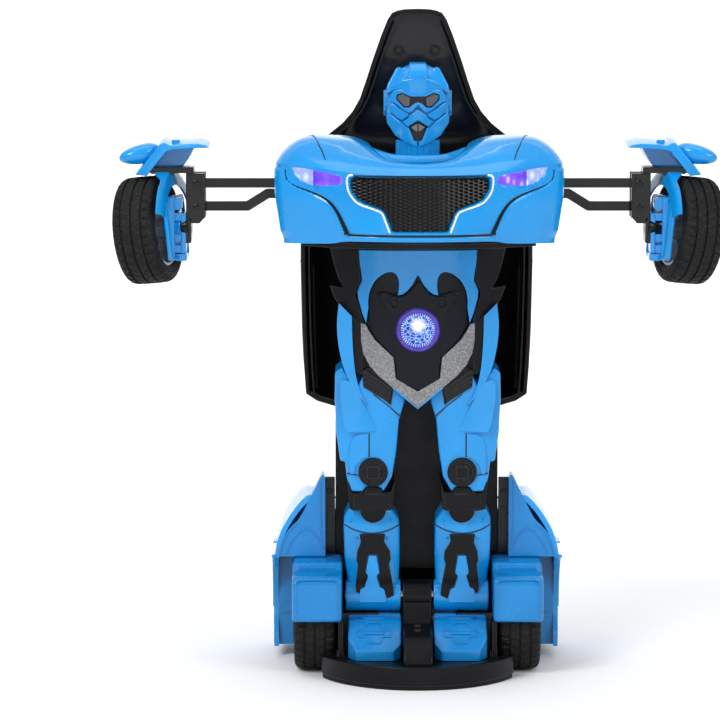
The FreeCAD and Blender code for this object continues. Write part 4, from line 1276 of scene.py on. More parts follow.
def build_strap():
    """Ankle bearing and the strap that runs down between the feet."""
    side = [(-55, 10.5), (-55, 13), (-53, 17), (-47, 23), (-43, 25), (-20, 25), (-18, 34), (-14, 42),
            (-10, 44), (-4, 41), (-2, 34), (-2, 10.5)]
    body = prism(side, -7.2, 7.2, plane="yz", bevel=0.9, segments=3)
    band = prism([(-54.2, 12), (-54.6, 13.4), (-52.4, 17.6), (-46.6, 23.8), (-42.6, 25.8), (-21, 25.8),
                  (-21, 24), (-43, 24), (-52, 16), (-53, 12)], -5.2, 5.2, plane="yz", bevel=0.4)
    bearing = lathe(disc_profile(-7.2, 7.2, 8.0, 0.7, 2.6), "x", ANKLE, 44)
    screws = [lathe([(25.7, 0), (26.3, 0), (26.5, 0.6), (26.3, 2.0), (25.9, 2.3), (25.0, 2.3), (25.0, 0)],
                    "z", (0, y, 0), 20) for y in (-38, -27)]
    piece("ankle_strap", join(body, band, bearing), BLACK, "base", ("ankle_bracket",),
          cutters=[prism(circle(ANKLE[1], ANKLE[2], 2.55, 24), -9, 9, plane="yz", bevel=0)])
    piece("ankle_strap_screws", join(*screws), BLACK_GLOSS, "base")


def foot_top(y):
    """Height of the foot's top along its length."""
    return soft_table([(-41.0, 15.4), (-38.5, 17.4), (-25.6, 27.7), (-22.0, 28.2), (-18.0, 28.2)], y)


def slope_y(z):
    """Y of the foot's sloping front at a height."""
    return lerp(-38.5, -25.6, (z - 17.4) / 10.6)


def build_feet():
    """Sloped feet with their heels and raised outlines."""
    def foot():
        return prism([(8.2, -18), (34.5, -18), (34.5, -34.5), (30.4, -41), (12, -41), (8.2, -37)], 10.5, 28.5,
                     plane="xy", bevel=0.9, segments=3, grid=1.6,
                     warp=lambda x, y, z: (x, y, 10.5 + (z - 10.5) / 18 * (foot_top(y) - 10.5)))
    def badge():
        cx = 21.6
        outer = [(-8.6, 24.0), (-5.4, 24.4), (-3.0, 27.2), (3.0, 27.2), (5.4, 24.4), (8.6, 24.0), (8.2, 21.6),
                 (4.4, 21.6), (3.2, 19.0), (-3.2, 19.0), (-4.4, 21.6), (-8.2, 21.6), (-8.6, 24.0)]
        lay = lambda x, y, z: (x, y + slope_y(z), z)
        ring = prism(strip([(cx + a, b) for a, b in outer], 0.7), -0.75, 0.5, bevel=0.15, grid=1.5, warp=lay)
        bar = prism([(cx - 5.2, 23.6), (cx + 5.2, 23.6), (cx + 4.6, 22.4), (cx - 4.6, 22.4)], -0.9, 0.5,
                    bevel=0.2, warp=lay)
        cap = prism(strip([(cx - 8.0, -20.2), (cx + 8.0, -20.2), (cx + 5.0, -22.8), (cx - 5.0, -22.8),
                           (cx - 8.0, -20.2)], 0.7), 27.8, 28.55, plane="xy", bevel=0.12)
        return join(ring, bar, cap)
    piece("feet_sloped", pair(foot), BLUE_SATIN, "base", ("feet",))
    def heel():
        return join(prism(rounded(8.4, 34.4, 11.0, 29.2, 0.8, 3), -18.4, -16.2, bevel=0.3),
                    prism(rounded(8.4, 19.6, 27.0, 29.5, 0.6, 3), -16.6, -10.0, bevel=0.3))
    piece("feet_heels", pair(heel), BLUE_SATIN, "base")
    piece("feet_badges", pair(badge), BLUE_SATIN, "base")


def build_covers():
    """Covers over the rear wheels, their ledges and mud flaps."""
    def cover():
        side = [(-37, 29), (-37, 47), (-35.6, 50.6), (-32.6, 52.0), (-20.6, 52.4), (-18.4, 55.4), (-16, 56.0),
                (6, 56.0), (6, 40), (-20, 29)]
        return prism(side, 37.5, 62.2, plane="yz", bevel=2.0, segments=4)
    def tool():
        return lathe([(39.9, 0), (39.9, 27.6), (66, 27.6), (66, 0)], "x", REAR_AXLE, 64)
    def hole():
        return lathe([(30, 0), (30, 4.0), (45, 4.0), (45, 0)], "x", REAR_AXLE, 24)
    for side, make in SIDES:
        nodes = ("wheel_covers",) if side == "left" else ()
        piece("wheel_cover_" + side, make(cover()), BLUE_SATIN, "base", nodes,
              cutters=[make(tool()), make(hole())])
    def ledge():
        return join(prism(strip([(39.6, 31.2), (39.6, 49.6), (41.4, 51.0), (58.4, 51.0), (60.2, 49.6),
                                 (60.2, 31.2)], 0.5), -37.35, -36.6, bevel=0.12),
                    prism(rounded(40.6, 59.2, 53.0, 54.6, 0.7, 3), -20.8, -18.0, bevel=0.2, grid=4.0))
    piece("wheel_cover_ledges", pair(ledge), BLUE_SATIN, "base")
    def flap():
        return prism([(36.9, 11.0), (36.9, 29.0), (39.4, 29.0), (39.4, 11.0)], -34.0, -18.0, bevel=0.4)
    piece("mud_flaps", pair(flap), BLACK, "base")


def fender_taper(x, y, z):
    """The rear quarters draw in towards the tail."""
    return (x - 0.0011 * max(0, y - 30) ** 2, y, z)


def lid_crown(x, y, z):
    """The boot lid falls away towards its sides."""
    return (x, y, z - 0.0005 * x * x)


def build_fenders():
    """Rear quarters of the car with their pillars, liners and side details."""
    outer = spline([(72.4, 5.6), (72.6, 26), (72.4, 46), (71.2, 59), (68.6, 68.6), (64.4, 76.4), (60.0, 82.6),
                    (55.6, 87.0), (52.6, 87.6), (50.4, 85.6)], 4)
    inner = spline([(51.0, 83.4), (53.4, 84.9), (58.2, 80.4), (62.4, 74.6), (66.4, 67.4), (68.8, 58.4),
                    (70.0, 46), (70.2, 26), (70.0, 5.6)], 4)
    def wall():
        return prism(outer + inner, -4, 62.4, bevel=0.5, grid=5.0,
                     warp=fender_taper)
    def outside():
        side = [(23.2, -5), (23.2, 5.8), (53.6, 5.8), (59.4, 14), (62.0, 40), (59.6, 66), (52, 78.2),
                (40, 85.8), (20, 88.2), (-10, 88.2), (-10, 100), (90, 100), (90, -5)]
        return prism(side, 40, 80, plane="yz", bevel=0)
    def arch():
        return lathe([(40, 0), (40, 29.4), (80, 29.4), (80, 0)], "x", REAR_AXLE, 72)
    def front_gap():
        return prism(rect(-12, 20, -2, 30), 60, 80, plane="yz", bevel=0)
    def pillar():
        face = [(46.0, 56.4)] + spline([(46.0, 95.6), (47.0, 98.0), (48.6, 96.6), (52.4, 88.6), (58.8, 76.2),
                                        (63.0, 71.8), (66.4, 67.4), (69.2, 60.0)], 3) + [(69.8, 56.4)]
        return prism(face, -4.2, 8, bevel=0.9, segments=3)
    def ribs():
        lines = [([(46.6, 60), (50.4, 66.4), (55.1, 70.8), (59.4, 68.6), (63.4, 63.4), (65.8, 57.4)], 0.55),
                 ([(48.4, 94.6), (48.4, 76), (47.6, 60)], 0.5),
                 ([(59.6, 73.4), (64.2, 69.2), (67.6, 62.6), (68.8, 57.4)], 0.5)]
        return join(*[prism(strip(spline(path, 4), w), -4.8, -3.9, bevel=0.15) for path, w in lines])
    def arch_lip():
        turns = [math.radians(a) for a in range(-2, 92, 4)]
        path = [(REAR_AXLE[1] + 30.3 * math.cos(a), REAR_AXLE[2] + 30.3 * math.sin(a)) for a in turns]
        return prism(strip(path, 1.5), 71.0, 73.1, plane="yz", bevel=0.5)
    def side_crease():
        path = [(2, 62.6), (20, 61.6), (38, 59.0), (52, 55.0)]
        return prism(strip(spline(path, 4), 0.8), 69.2, 72.4, plane="yz", bevel=0.25, grid=4.0,
                     warp=fender_taper)
    def shut_line():
        path = [(26.6, 6.2), (30.0, 20), (36.6, 34), (45.6, 43.4), (58, 47.6)]
        return prism(strip(spline(path, 4), 0.5), 71.9, 72.75, plane="yz", bevel=0, grid=4.0,
                     warp=lambda x, y, z: (fender_taper(x, y, z)[0] - 0.05, y, z))
    def intake():
        face = [(33.0, 14), (35.4, 24), (43.0, 32.4), (52.6, 35.6), (51.6, 30.0), (44.6, 20.6), (38.6, 14.0)]
        return prism(face, 70.2, 72.9, plane="yz", bevel=0.35, grid=4.0,
                     warp=fender_taper)
    for side, make in SIDES:
        piece("rear_wing_" + side, make(wall()), BLUE, "base", ("rear_fender_" + side,),
              cutters=[make(outside()), make(arch()), make(front_gap())])
        piece("rear_pillar_" + side, make(pillar()), BLUE_SATIN, "base")
    def closing():
        face = [(61.9, 5.9), (70.4, 5.9), (70.6, 30), (70.4, 46), (69.0, 58), (66.6, 67), (62.4, 74.6),
                (57.6, 80.6), (53.4, 84.6), (50.6, 83.0), (50.6, 56.2), (61.9, 56.2)]
        groove = [([(63.2, 8), (63.2, 52), (65.4, 62), (61.0, 71.6)], 0.7),
                  ([(69.0, 22.4), (62.4, 22.8)], 0.5)]
        return join(prism(face, 23.2, 25.8, bevel=0.5),
                    *[prism(strip(spline(path, 4), w), 22.6, 23.5, bevel=0.15) for path, w in groove])
    def screen():
        return join(prism(rounded(41.25, 46.6, 56.2, 95.0, 0.6, 3), 8.2, 10.4, bevel=0.3),
                    prism(rounded(42.6, 45.2, 66, 80, 0.6, 3), 7.4, 8.6, bevel=0.3),
                    screw_head(44.0, 88.0, 7.5, 1.3))
    piece("rear_wing_liners", pair(closing), BLUE_SATIN, "base")
    piece("deck_screens", pair(screen), BLACK_GLOSS, "base")
    piece("rear_pillar_ribs", pair(ribs), BLUE_SATIN, "base")
    piece("rear_arch_lips", pair(arch_lip), BLUE, "base")
    piece("rear_side_creases", pair(side_crease), BLUE, "base")
    piece("rear_shut_lines", pair(shut_line), BLACK, "base")
    piece("rear_side_intakes", pair(intake), BLACK, "base")


def build_rear():
    """Boot lid, tail, rear bumper and power switch."""
    lid = prism(rect(-50.2, 50.2, 20, 57), 75.0, 77.5, plane="xy", bevel=0.5, grid=5.0,
                warp=lid_crown)
    rail = pair(lambda: prism(rounded(20, 57, 76.6, 84.0, 2.4), 48.0, 50.2, plane="yz", bevel=0.5))
    half = [(0, 77.3), (44, 77.2), (56, 76.6), (61, 75.0), (65.0, 69), (67.6, 60), (69.2, 47), (69.4, 30),
            (0, 30)]
    tail = prism(both(half), 57.0, 59.5, bevel=0.6, grid=6.0,
                 warp=bent(-0.00035))
    piece("boot_lid", join(lid, rail, tail), BLUE, "base", ("rear_deck",))
    def lid_lines():
        return join(prism(strip([(6, 22), (44, 22), (45.6, 24), (45.6, 54), (40, 56), (6, 56)], 0.5), 76.4,
                          77.62, plane="xy", bevel=0, grid=4.0, warp=lid_crown),
                    prism(strip([(2, 57.6), (30, 57.6), (33.4, 55.0), (63, 55.0)], 0.5), 58.0, 59.75,
                          bevel=0, grid=4.0, warp=bent(-0.00035)))
    piece("boot_shut_lines", pair(lid_lines), BLACK, "base")
    plate = prism(both([(0, 54), (23, 54), (25, 52), (25, 41), (23, 39), (0, 39)]), 58.9, 60.3, bevel=0.3,
                  segments=2)
    piece("number_plate_blank", plate, BLACK, "base")
    def lamp_frame():
        path = [(34.4, 67.6), (57.6, 69.4), (61.4, 64.0), (59.6, 60.4), (36.2, 62.4), (34.4, 67.6)]
        return prism(strip(path, 1.0), 58.4, 61.9, bevel=0.25)
    piece("tail_lamp_frames", pair(lamp_frame), BLACK_GLOSS, "base")
    bumper = prism([(56.2, 8), (59.6, 9.0), (61.0, 14), (61.5, 22), (61.2, 28.4), (60.2, 29.5),
                    (56.2, 29.5)], -66, 66, plane="yz", bevel=0.6, grid=6.0,
                   warp=lambda x, y, z: (x, y - 0.0008 * max(0, abs(x) - 40) ** 2 * (1 if y > 57 else 0), z))
    fins = [prism([(60.6, 9.6), (62.8, 12.0), (62.8, 20.6), (60.6, 22.0)], x - 0.7, x + 0.7, plane="yz",
                  bevel=0.3) for x in (-27, -18, -9, 0, 9, 18, 27)]
    opening = prism(rounded(30.7, 39.3, 16.2, 19.8, 0.5), 55.0, 64, bevel=0)
    piece("rear_bumper_lower", bumper, BLACK, "base", ("rear_bumper",), cutters=[opening])
    piece("diffuser_fins", join(*fins), BLACK, "base")
    knob = join(prism(rounded(31.0, 35.0, 16.6, 19.4, 0.5, 3), 57, 62.4, bevel=0.3),
                *[prism(rect(x - 0.25, x + 0.25, 17.0, 19.0), 62.2, 63.0,
                        bevel=0.1) for x in (31.8, 32.6, 33.4, 34.2)])
    piece("switch_knob", knob, BLACK_GLOSS, "switch", ("power_switch",))


build_stand()
build_strap()
build_feet()
build_covers()
build_fenders()
build_rear()


# -------------------------------------------------------------------- wheels

TOE = Matrix.Rotation(math.radians(15), 4, "Z")
LEAN = Matrix.Rotation(math.radians(6), 4, "Y")
STEER = Matrix.Translation(FRONT_AT) @ TOE @ LEAN

# Cuts across each lane of the tread: depth in mm, then the shift on the +X and on the -X side and the
# length, counted in steps of 2 degrees out of each five.
TREAD_CUTS = {0: (0.0, (0, 0), 0), 1: (0.5, (2, 0), 1), 2: (0.55, (1, 3), 1), 3: (0.8, (0, 2), 1),
              4: (0.7, (0, 2), 2)}


def tyre_mesh():
    """Tyre about the X axis at the origin: rounded sidewalls, three grooves, cut blocks and fine sipes."""
    half = [(0.0, 25.5, 0), (0.55, 25.5, 0), (0.62, 26.5, 1), (2.0, 26.5, 1), (2.9, 26.5, 2),
            (4.55, 26.46, 2), (4.62, 25.5, 0), (5.75, 25.5, 0), (5.82, 26.42, 3), (7.4, 26.3, 3),
            (8.6, 25.95, 4), (9.6, 25.2, 4), (10.25, 24.0, 0), (10.5, 22.6, 0), (10.5, 21.9, 0),
            (10.1, 21.7, 0), (10.1, 21.3, 0), (10.4, 21.1, 0), (10.2, 19.4, 0), (9.6, 18.55, 0)]
    profile = [(-x, r, lane) for x, r, lane in half[:0:-1]] + [(x, r, lane) for x, r, lane in half]
    steps = 180
    rows = []
    for k in range(steps + 1):
        a = 2 * math.pi * k / steps
        row = []
        for x, r, lane in profile:
            depth, shift, length = TREAD_CUTS[lane]
            cut = depth if (k + shift[x <= 0]) % 5 < length else 0.0
            row.append((x, (r - cut) * math.sin(a), (r - cut) * math.cos(a)))
        rows.append(row)
    return sheet(rows, wrap=True)


def rim_mesh():
    """Five-spoke wheel about the X axis at the origin, its face towards +X."""
    barrel = lathe([(-9.0, 17.0), (-9.0, 18.2), (-8.6, 18.45), (8.6, 18.45), (9.0, 18.2), (9.0, 17.6),
                    (8.2, 17.0), (6.6, 16.7), (2.0, 16.5), (-8.0, 16.5)], "x", (0, 0, 0), 64)
    hub = lathe([(-9.0, 2.1), (-9.0, 4.6), (-8.6, 5.0), (5.6, 5.0), (6.3, 4.6), (6.5, 3.6), (6.1, 3.3),
                 (6.1, 0.0), (5.0, 0.0), (5.0, 2.1)], "x", (0, 0, 0), 32)
    cap = lathe([(6.0, 0), (7.0, 0), (7.1, 0.8), (6.9, 2.4), (6.5, 2.9), (6.0, 2.9)], "x", (0, 0, 0), 28)
    spokes = []
    for k in range(5):
        turn = Matrix.Rotation(math.radians(72 * k + 36), 4, "X")
        for lean in (-1, 1):
            outline = [(0.3 * lean, 3.8), (2.3 * lean, 3.8), (5.6 * lean, 17.0), (3.4 * lean, 17.0)]
            arm = prism(outline, 3.0, 6.0, plane="yz", bevel=0.45, grid=2.5,
                        warp=lambda x, y, z: (x - (0.10 * (17 - z) if x > 4 else 0.05 * (17 - z)) * 0.6, y,
                                              z))
            spokes.append(moved(arm, turn))
        nut_at = Matrix.Rotation(math.radians(72 * k), 4, "X")
        spokes.append(moved(lathe([(5.8, 0), (6.5, 0), (6.6, 0.4), (6.4, 0.7), (5.8, 0.7)], "x",
                                  (0, 0, 3.9), 8), nut_at))
    return join(barrel, hub, cap, *spokes)


def brake_mesh():
    """Drilled disc and drum behind the spokes."""
    return lathe([(-1.2, 5.0), (-1.2, 12.6), (-0.9, 12.9), (0.0, 12.9), (0.3, 12.6), (0.3, 9.2), (1.4, 8.8),
                  (1.4, 5.0)], "x", (0, 0, 0), 48)


def build_wheels():
    """Tyre, rim and brake disc of each wheel, on its own body."""
    for side, make in SIDES:
        places = (("front", STEER, "front_wheel_"), ("rear", Matrix.Translation(REAR_AT), "rear_wheel_"))
        for end, place, body in places:
            piece(end + "_tread_" + side, make(moved(tyre_mesh(), place)), RUBBER, body + side,
                  (end + "_tyre_" + side,), smooth=32)
            rim_parts = [moved(rim_mesh(), place)]
            if end == "rear":
                rim_parts.append(lathe(disc_profile(24.0, 46.0, 2.0, 0.3), "x", REAR_AXLE, 20))
            piece(end + "_wheel_" + side, make(join(*rim_parts)), RIM, body + side, (end + "_rim_" + side,))
            piece(end + "_disc_" + side, make(moved(brake_mesh(), place)), STEEL, body + side)


build_wheels()


# -------------------------------------------------------------------- arms

def build_arms():
    """Knuckles, bars, brake parts, fender blades and door mirrors."""
    def knuckle_face():
        ear = prism([(104.7, 229.4), (104.7, 239.6), (106.4, 241.4), (106.4, 248.6), (108.0, 250.8),
                     (113.8, 250.8), (113.8, 229.4), (111.4, 226.4), (107.4, 226.4)], -27.2, -26.2, bevel=0.3)
        return join(ear, screw_head(108.6, 246.0, -28.0), screw_head(108.6, 234.3, -28.0),
                    prism(rounded(110.0, 132.0, 251.2, 253.8, 0.7, 3), -27.4, -26.0, bevel=0.3),
                    prism(rounded(111.4, 114.6, 216.6, 229.0, 0.8, 3), -27.2, -12.6, bevel=0.4),
                    prism(rounded(124.0, 131.6, 250.6, 253.6, 1.2, 3), -26.4, -11.0, bevel=0.4))
    def flanges(path, y, drop):
        return join(*[prism(strip([(a, b + off) for a, b in path], 0.8), y - 0.3, y + 0.2, bevel=0.1)
                      for off in (drop, -drop)])
    def cover():
        plate = prism(rounded(-15.0, 15.0, -15.6, 16.0, 3.0), -14.2, -12.4, plane="yz", bevel=0.6)
        border = rounded(-14.2, 14.2, -14.8, 15.2, 3.0)
        edge = prism(strip(border + border[:1], 1.3), -15.4, -13.6, plane="yz", bevel=0.3)
        return moved(join(plate, edge), STEER)
    def caliper():
        slab = prism(rounded(-27.6, -12.0, 211.6, 231.4, 1.2), 114.0, 116.4, plane="yz", bevel=0.5)
        ribs = [prism(rounded(115.8, 121.0, z - 1.9, z + 1.9, 0.8, 3), -27.0, -21.0, bevel=0.4)
                for z in (213.8, 219.2, 224.6, 229.6)]
        block = prism(rounded(115.6, 121.6, 211.8, 231.6, 1.0), -24.8, -14.0, bevel=0.5)
        outer = prism([(119.2, 208.4), (123.0, 208.0), (124.0, 238.6), (119.8, 239.6)], -30.2, -24.4,
                      bevel=0.6)
        cap = prism(rounded(116.0, 120.4, 233.0, 239.0, 1.0, 3), -27.2, -15.0, bevel=0.5)
        toe = prism(rounded(113.6, 119.4, 207.8, 211.4, 0.8, 3), -26.0, -15.0, bevel=0.4)
        return join(slab, block, outer, cap, toe, *ribs)
    def liner():
        rows = []
        for k in range(31):
            deg = lerp(18, 162, k / 30)
            a = math.radians(deg)
            reach = lerp(-14.8, -8.6, ease((deg - 54) / 24) * ease((150 - deg) / 26))
            rows.append([(x, -r * math.cos(a), r * math.sin(a)) for x, r in
                         ((-16.4, 21.0), (-16.4, 25.0), (-16.0, 27.2), (-15.3, 28.3),
                          (lerp(-15.0, reach, 0.5), 28.9), (reach, 29.1))])
        return moved(sheet(rows, thick=1.1), STEER)
    def blade():
        outline = [(101.9, 265.3), (104.4, 266.6), (108.4, 267.3), (116.0, 266.9), (121.6, 266.2),
                   (124.2, 267.6), (126.2, 267.2), (131.6, 260.4), (138.8, 251.8), (133.0, 251.2),
                   (128.0, 257.6), (123.4, 263.2), (120.6, 264.2), (110.0, 265.0)]
        return prism(outline, -30, 12, bevel=0.6, segments=3, grid=3.5,
                     warp=lambda x, y, z: (x, y + (0.35 * (x - 121) if y < -9 else -0.25 * (x - 121)) * 0.35,
                                           z - 0.0035 * (y + 9) ** 2))
    def underside():
        outline = spline([(109.6, 264.4), (112.2, 259.4), (115.4, 254.2)], 4) + [(132.4, 253.4)] + \
            spline([(128.0, 257.2), (123.4, 262.6), (120.8, 263.9)], 3)
        return prism(outline, -20.4, 8.0, bevel=0.5, grid=3.0,
                     warp=lambda x, y, z: (x, y, z - 0.0032 * (y + 9) ** 2 * (1 if z > 256 else 0.2)))
    def mirror():
        rows = []
        n, steps = 36, 14
        for i in range(steps + 1):
            t = math.cos(math.pi * i / steps)
            scale = max(0.02, (1 - abs(t) ** 2.6) ** (1 / 2.6))
            row = []
            for k in range(n):
                a = 2 * math.pi * k / n
                u = 10.0 * scale * math.copysign(abs(math.cos(a)) ** 0.9, math.cos(a))
                w = 4.9 * scale * math.copysign(abs(math.sin(a)) ** 0.9, math.sin(a)) * (1 - 0.018 * u)
                row.append((137.0 + u, -19.4 + 7.6 * t - 0.12 * u, 259.9 + w - 0.17 * u))
            rows.append(row)
        body = capped(sheet(rows, wrap=True))
        stalk = prism([(124.0, 258.4), (124.0, 263.4), (131.0, 262.8), (131.0, 257.6)], -22.0, -16.4,
                      bevel=0.7)
        return join(body, stalk)
    def mirror_glass():
        pts = [(137.2 + 7.9 * math.cos(a), 259.7 + 3.5 * math.sin(a) - 0.17 * 7.9 * math.cos(a))
               for a in (2 * math.pi * k / 32 for k in range(32))]
        return prism(pts, -13.4, -11.6, bevel=0.3)
    def knob():
        return lathe([(264.6, 0), (264.6, 2.0), (266.9, 2.0), (267.3, 1.6), (267.3, 0)], "z",
                     (119.0, -22.0, 0), 20)
    up = [(40, 246.0), (102, 246.0)]
    low = [(40, 234.3), (50, 234.3), (58, 240.5), (74, 240.5), (84, 234.3), (102, 234.3)]
    for side, make in SIDES:
        knuckle = "knuckle_" + side
        for node in ("knuckle_" + side, "upper_bar_" + side, "lower_bar_" + side):
            frame["nodes"][node].data.materials.clear()
            frame["nodes"][node].data.materials.append(BLACK_GLOSS)
        piece("knuckle_face_" + side, make(knuckle_face()), BLACK_GLOSS, knuckle)
        for bar, path, front in (("upper_bar_", up, -23.0), ("lower_bar_", low, -18.9)):
            piece(bar + "flanges_" + side, make(flanges(path, front, 1.75)), BLACK_GLOSS, bar + side)
        piece("brake_shield_" + side, make(cover()), BLUE, knuckle, ("brake_cover_" + side,),
              cutters=[make(moved(lathe([(-18, 0), (-18, 4.7), (-9, 4.7), (-9, 0)], "x", (0, 0, 0), 28),
                                  STEER))])
        for name, build in (("caliper_", caliper), ("arch_liner_", liner)):
            piece(name + side, make(build()), BLUE, knuckle)
        piece("fender_blade_" + side, make(blade()), BLUE, knuckle, ("side_panel_" + side,))
        piece("fender_underside_" + side, make(underside()), BLUE_PALE, knuckle)
        for name, build in (("fender_knob_", knob), ("door_mirror_", mirror)):
            piece(name + side, make(build()), BLUE, knuckle)
        piece("mirror_glass_" + side, make(mirror_glass()), GLASS_BLACK, knuckle)


build_arms()


# ---------------------------------------------------------------- back shell

# Height, half width and rearmost Y, up the shell.
CABIN = [(130.0, 41.0, 41.6), (133.0, 51.0, 42.2), (136.0, 56.0, 42.6), (150.0, 57.0, 43.4),
         (170.0, 57.8, 44.0), (200.0, 58.4, 44.0), (212.0, 58.4, 44.0), (228.0, 58.4, 39.6),
         (240.0, 58.4, 36.0), (251.0, 58.3, 32.4), (255.5, 57.4, 30.9), (259.0, 54.0, 29.8),
         (262.6, 49.8, 28.6), (267.0, 44.0, 27.6), (272.0, 37.8, 27.0), (278.0, 32.6, 26.8),
         (284.5, 28.9, 26.5), (294.0, 25.6, 26.2), (304.0, 22.4, 25.8), (316.0, 18.2, 25.4),
         (324.0, 15.0, 25.0), (327.2, 13.0, 24.6), (329.0, 10.4, 24.2), (329.8, 6.4, 23.6),
         (330.0, 1.0, 23.0)]


def cabin_size(z):
    """Half width and rearmost Y of the cabin shell at a height."""
    return table([(a, b) for a, b, _ in CABIN], z), table([(a, c) for a, _, c in CABIN], z)


def cabin_point(t, z, lift=0.0):
    """Point on the cabin skin: t runs from -1 at the right edge to +1 at the left edge."""
    half_w, back = cabin_size(z)
    a = t * math.pi / 2
    s, c = math.sin(a), math.cos(a)
    power = 2 / 3.6
    return ((half_w + lift) * math.copysign(abs(s) ** power, s), 21.0
            + (back - 21.0 + lift) * max(0.0, c) ** power, z)


def cabin_patch(t0, t1, z0, z1, lift, nt=20, nz=20, corner=0.0, thick=0.6):
    """Panel on the skin between two bounds, its corners drawn in."""
    rows = []
    for i in range(nz + 1):
        v = i / nz
        z = lerp(z0, z1, v)
        pull = corner * max(0.0, (abs(v - 0.5) - 0.38) / 0.12) ** 2
        rows.append([cabin_point(lerp(t0 + pull, t1 - pull, j / nt), z, lift) for j in range(nt + 1)])
    return sheet(rows, thick=-thick)


def cabin_line(points, width=0.9, lift=0.15):
    """Raised bead on the skin through (t, z) points."""
    rows = []
    path = spline(points, 5)
    for i, (t, z) in enumerate(path):
        ta, za = path[max(0, i - 1)]
        tb, zb = path[min(len(path) - 1, i + 1)]
        dt, dz = (tb - ta) * 60, zb - za
        size = math.hypot(dt, dz) or 1.0
        nt, nz = -dz / size * width / 60, dt / size * width
        rows.append([cabin_point(t - nt * 0.5, z - nz * 0.5, -0.2),
                     cabin_point(t - nt * 0.3, z - nz * 0.3, lift),
                     cabin_point(t + nt * 0.3, z + nz * 0.3, lift),
                     cabin_point(t + nt * 0.5, z + nz * 0.5, -0.2)])
    return sheet(rows)


def build_cabin():
    """Cabin shell with its glass, roof panel, beads and seams."""
    rows = []
    levels = [z for z, _, _ in CABIN]
    dense = []
    for a, b in zip(levels, levels[1:]):
        steps = max(1, int((b - a) / 5))
        dense += [lerp(a, b, k / steps) for k in range(steps)]
    dense.append(levels[-1])
    across = [math.copysign(1 - (1 - abs(k / 26)) ** 1.15, k) for k in range(-26, 27)]
    for z in dense:
        rows.append([cabin_point(t, z) for t in across])
    shell = sheet(rows, thick=-2.2)
    carriage = prism(rounded(-17.6, 17.6, 196, 216, 1.5), 16.4, 42.6, bevel=0.6)
    piece("cabin_body", join(shell, carriage), BLACK_GLOSS, "back_shell", ("cabin_shell",),
          smooth=35)

    half = [(max(0.0, b - 1.1), z) for z, b, _ in CABIN if z <= 328.9] + [(7.0, 328.6), (0.0, 328.8)]
    rim_path = half + [(-x, z) for x, z in half[-2::-1]]
    piece("cabin_rim", prism(strip(rim_path, 2.2), 20.3, 23.0, bevel=0.6), BLACK, "back_shell")
    inner = [(x - 3.0, z) for x, z in half if x > 6 and z < 326]
    def inner_line():
        return prism(strip(inner, 0.8), 20.9, 24.5, bevel=0.2)
    piece("cabin_inner_lip", pair(inner_line), BLACK, "back_shell")
    boss = [(20.8, 1.2), (20.8, 2.4), (21.1, 2.7), (24.0, 2.9), (24.0, 1.2)]
    bosses = [lathe(boss, "y", (x, 0, 309.0), 24) for x in (9.0, -9.0)]
    piece("cabin_bosses", join(*bosses), BLACK, "back_shell")
    panels = [("windscreen", 0.60, 268, 322, 0.3, 0.06, 0.9, GLASS_BLACK),
              ("roof_panel", 0.56, 206, 262, 0.25, 0.05, 0.8, BLACK_GLOSS),
              ("rear_window", 0.54, 142, 200, 0.3, 0.06, 0.9, GLASS_BLACK)]
    for name, edge, bottom, top, lift, corner, thick, material in panels:
        panel = cabin_patch(-edge, edge, bottom, top, lift, corner=corner, thick=thick)
        piece(name, panel, material, "back_shell")
    def side_glass():
        return cabin_patch(0.80, 0.97, 150, 250, 0.35, nt=8, nz=30, corner=0.03, thick=0.9)
    piece("side_windows", pair(side_glass), GLASS_BLACK, "back_shell")
    def beads():
        return join(cabin_line([(0.69, 134), (0.69, 170), (0.69, 215), (0.67, 262), (0.68, 300),
                                (0.66, 324)]), cabin_line([(0.80, 200), (0.88, 201), (0.97, 203)], 1.2, 0.55))
    piece("roof_beads", pair(beads), BLACK, "back_shell")
    seams = join(cabin_line([(-0.62, 204), (-0.3, 203.2), (0, 203), (0.3, 203.2), (0.62, 204)], 0.9, 0.1),
                 cabin_line([(-0.6, 265), (-0.3, 265.6), (0, 266), (0.3, 265.6), (0.6, 265)], 0.9, 0.1))
    piece("roof_seams", seams, BLACK, "back_shell")


build_cabin()


def build_spine():
    """Ribs, bosses and screws on the back plate."""
    spots = [(side * x, z) for x, z in ((37, 112), (37, 144), (26, 168), (26, 214)) for side in (-1, 1)]
    ribs = []
    for z in (56, 70, 84, 98):
        ribs.append(prism(rounded(-36, 36, z - 0.8, z + 0.8, 0.5, 2), 15.3, 16.7, bevel=0.3))
    for x in (-36, -14, 14, 36):
        ribs.append(prism(rounded(x - 0.8, x + 0.8, 52, 104, 0.5, 2), 15.3, 16.5, bevel=0.3))
    for x, z in spots:
        ribs.append(lathe([(15.2, 1.2), (17.2, 1.2), (17.4, 1.6), (17.2, 3.0), (16.8, 3.3), (15.2, 3.4)], "y",
                          (x, 0, z), 20))
    piece("spine_ribs", join(*ribs), BLACK, "upper_body")
    screws = [lathe([(16.2, 0), (16.9, 0), (17.0, 0.5), (16.8, 1.1), (15.6, 1.2), (15.6, 0)], "y",
                    (x, 0, z), 14) for x, z in spots]
    piece("spine_screws", join(*screws), STEEL, "upper_body")


build_spine()


# -------------------------------------------------------- stage and camera

CAMERA_LENS = 181.15
CAMERA_AT = (-0.0286, -1.8, 0.38)
CAMERA_DOWN = 7.11


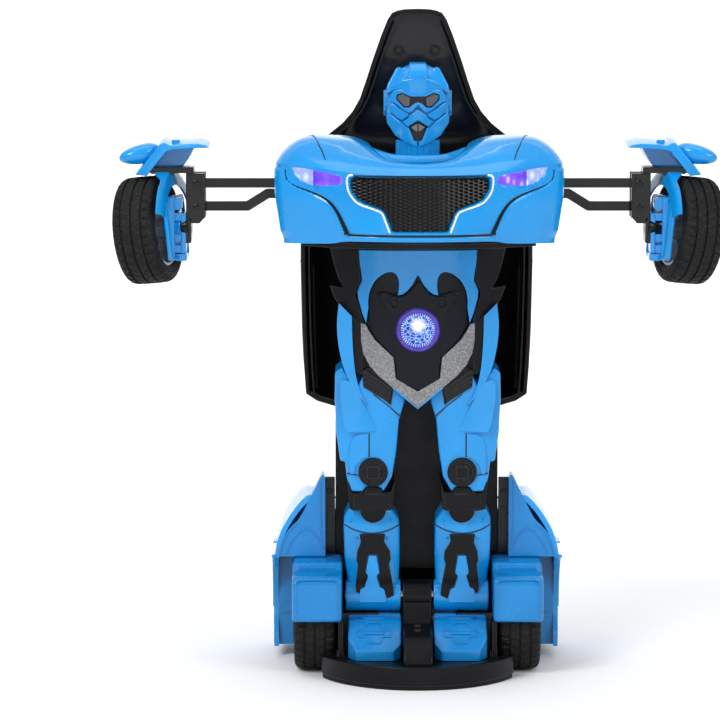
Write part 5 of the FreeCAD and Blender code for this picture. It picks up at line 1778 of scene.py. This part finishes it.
def studio():
    """Pale floor that sweeps up behind the toy, soft lights and the camera."""
    bm = bmesh.new()
    profile = [(-3.0, 0.0), (-1.0, 0.0), (0.6, 0.0), (1.4, 0.0)]
    profile += [(1.4 + 0.9 * math.sin(a), 0.9 - 0.9 * math.cos(a))
                for a in (math.radians(k * 9) for k in range(1, 11))]
    profile.append((2.3, 3.2))
    rows = [[bm.verts.new((x, y, z)) for y, z in profile] for x in (-3.5, 3.5)]
    for i in range(1, len(profile)):
        bm.faces.new((rows[0][i - 1], rows[1][i - 1], rows[1][i], rows[0][i]))
    mesh = bpy.data.meshes.new("studio_floor")
    bm.to_mesh(mesh)
    bm.free()
    floor = bpy.data.objects.new("studio_floor", mesh)
    bpy.context.scene.collection.objects.link(floor)
    for poly in mesh.polygons:
        poly.use_smooth = True
    g = Graph("pale_floor")
    g.set(Roughness=0.85, Specular_IOR_Level=0.2)
    mottle = g.noise(3, Detail=2.0)
    g.feed(Base_Color=g.ramp(mottle, [(0.3, 0.90), (0.7, 0.93)]))
    mesh.materials.append(g.material)

    bpy.context.scene.view_settings.view_transform = "Standard"
    world = bpy.context.scene.world or bpy.data.worlds.new("World")
    bpy.context.scene.world = world
    world.use_nodes = True
    background = world.node_tree.nodes["Background"]
    background.inputs["Color"].default_value = (0.93, 0.96, 1.0, 1)
    background.inputs["Strength"].default_value = 0.5

    def softbox(name, place, aim, size, power):
        light = bpy.data.lights.new(name, "AREA")
        light.shape = "RECTANGLE"
        light.size, light.size_y = size
        light.energy = power
        obj = bpy.data.objects.new(name, light)
        obj.location = place
        obj.rotation_euler = (Vector(aim) - Vector(place)).to_track_quat("-Z", "Y").to_euler()
        bpy.context.scene.collection.objects.link(obj)

    softbox("key", (-0.9, -1.2, 1.3), (0, 0, 0.2), (0.7, 0.7), 18)
    softbox("fill", (1.1, -1.1, 0.9), (0, 0, 0.2), (0.8, 0.8), 9)
    softbox("top", (0, -0.1, 1.5), (0, 0, 0.2), (1.2, 0.8), 5)
    softbox("front", (0, -1.9, 0.12), (0, 0, 0.16), (1.4, 0.5), 2.5)
    softbox("back_sweep", (0, 0.9, 1.4), (0, 2.0, 0.4), (2.0, 0.8), 22)

    lens = bpy.data.cameras.new("camera")
    lens.sensor_width = 36.0
    lens.lens = CAMERA_LENS
    camera = bpy.data.objects.new("camera", lens)
    camera.location = CAMERA_AT
    camera.rotation_euler = (math.radians(90 - CAMERA_DOWN), 0, 0)
    bpy.context.scene.collection.objects.link(camera)
    bpy.context.scene.camera = camera


studio()
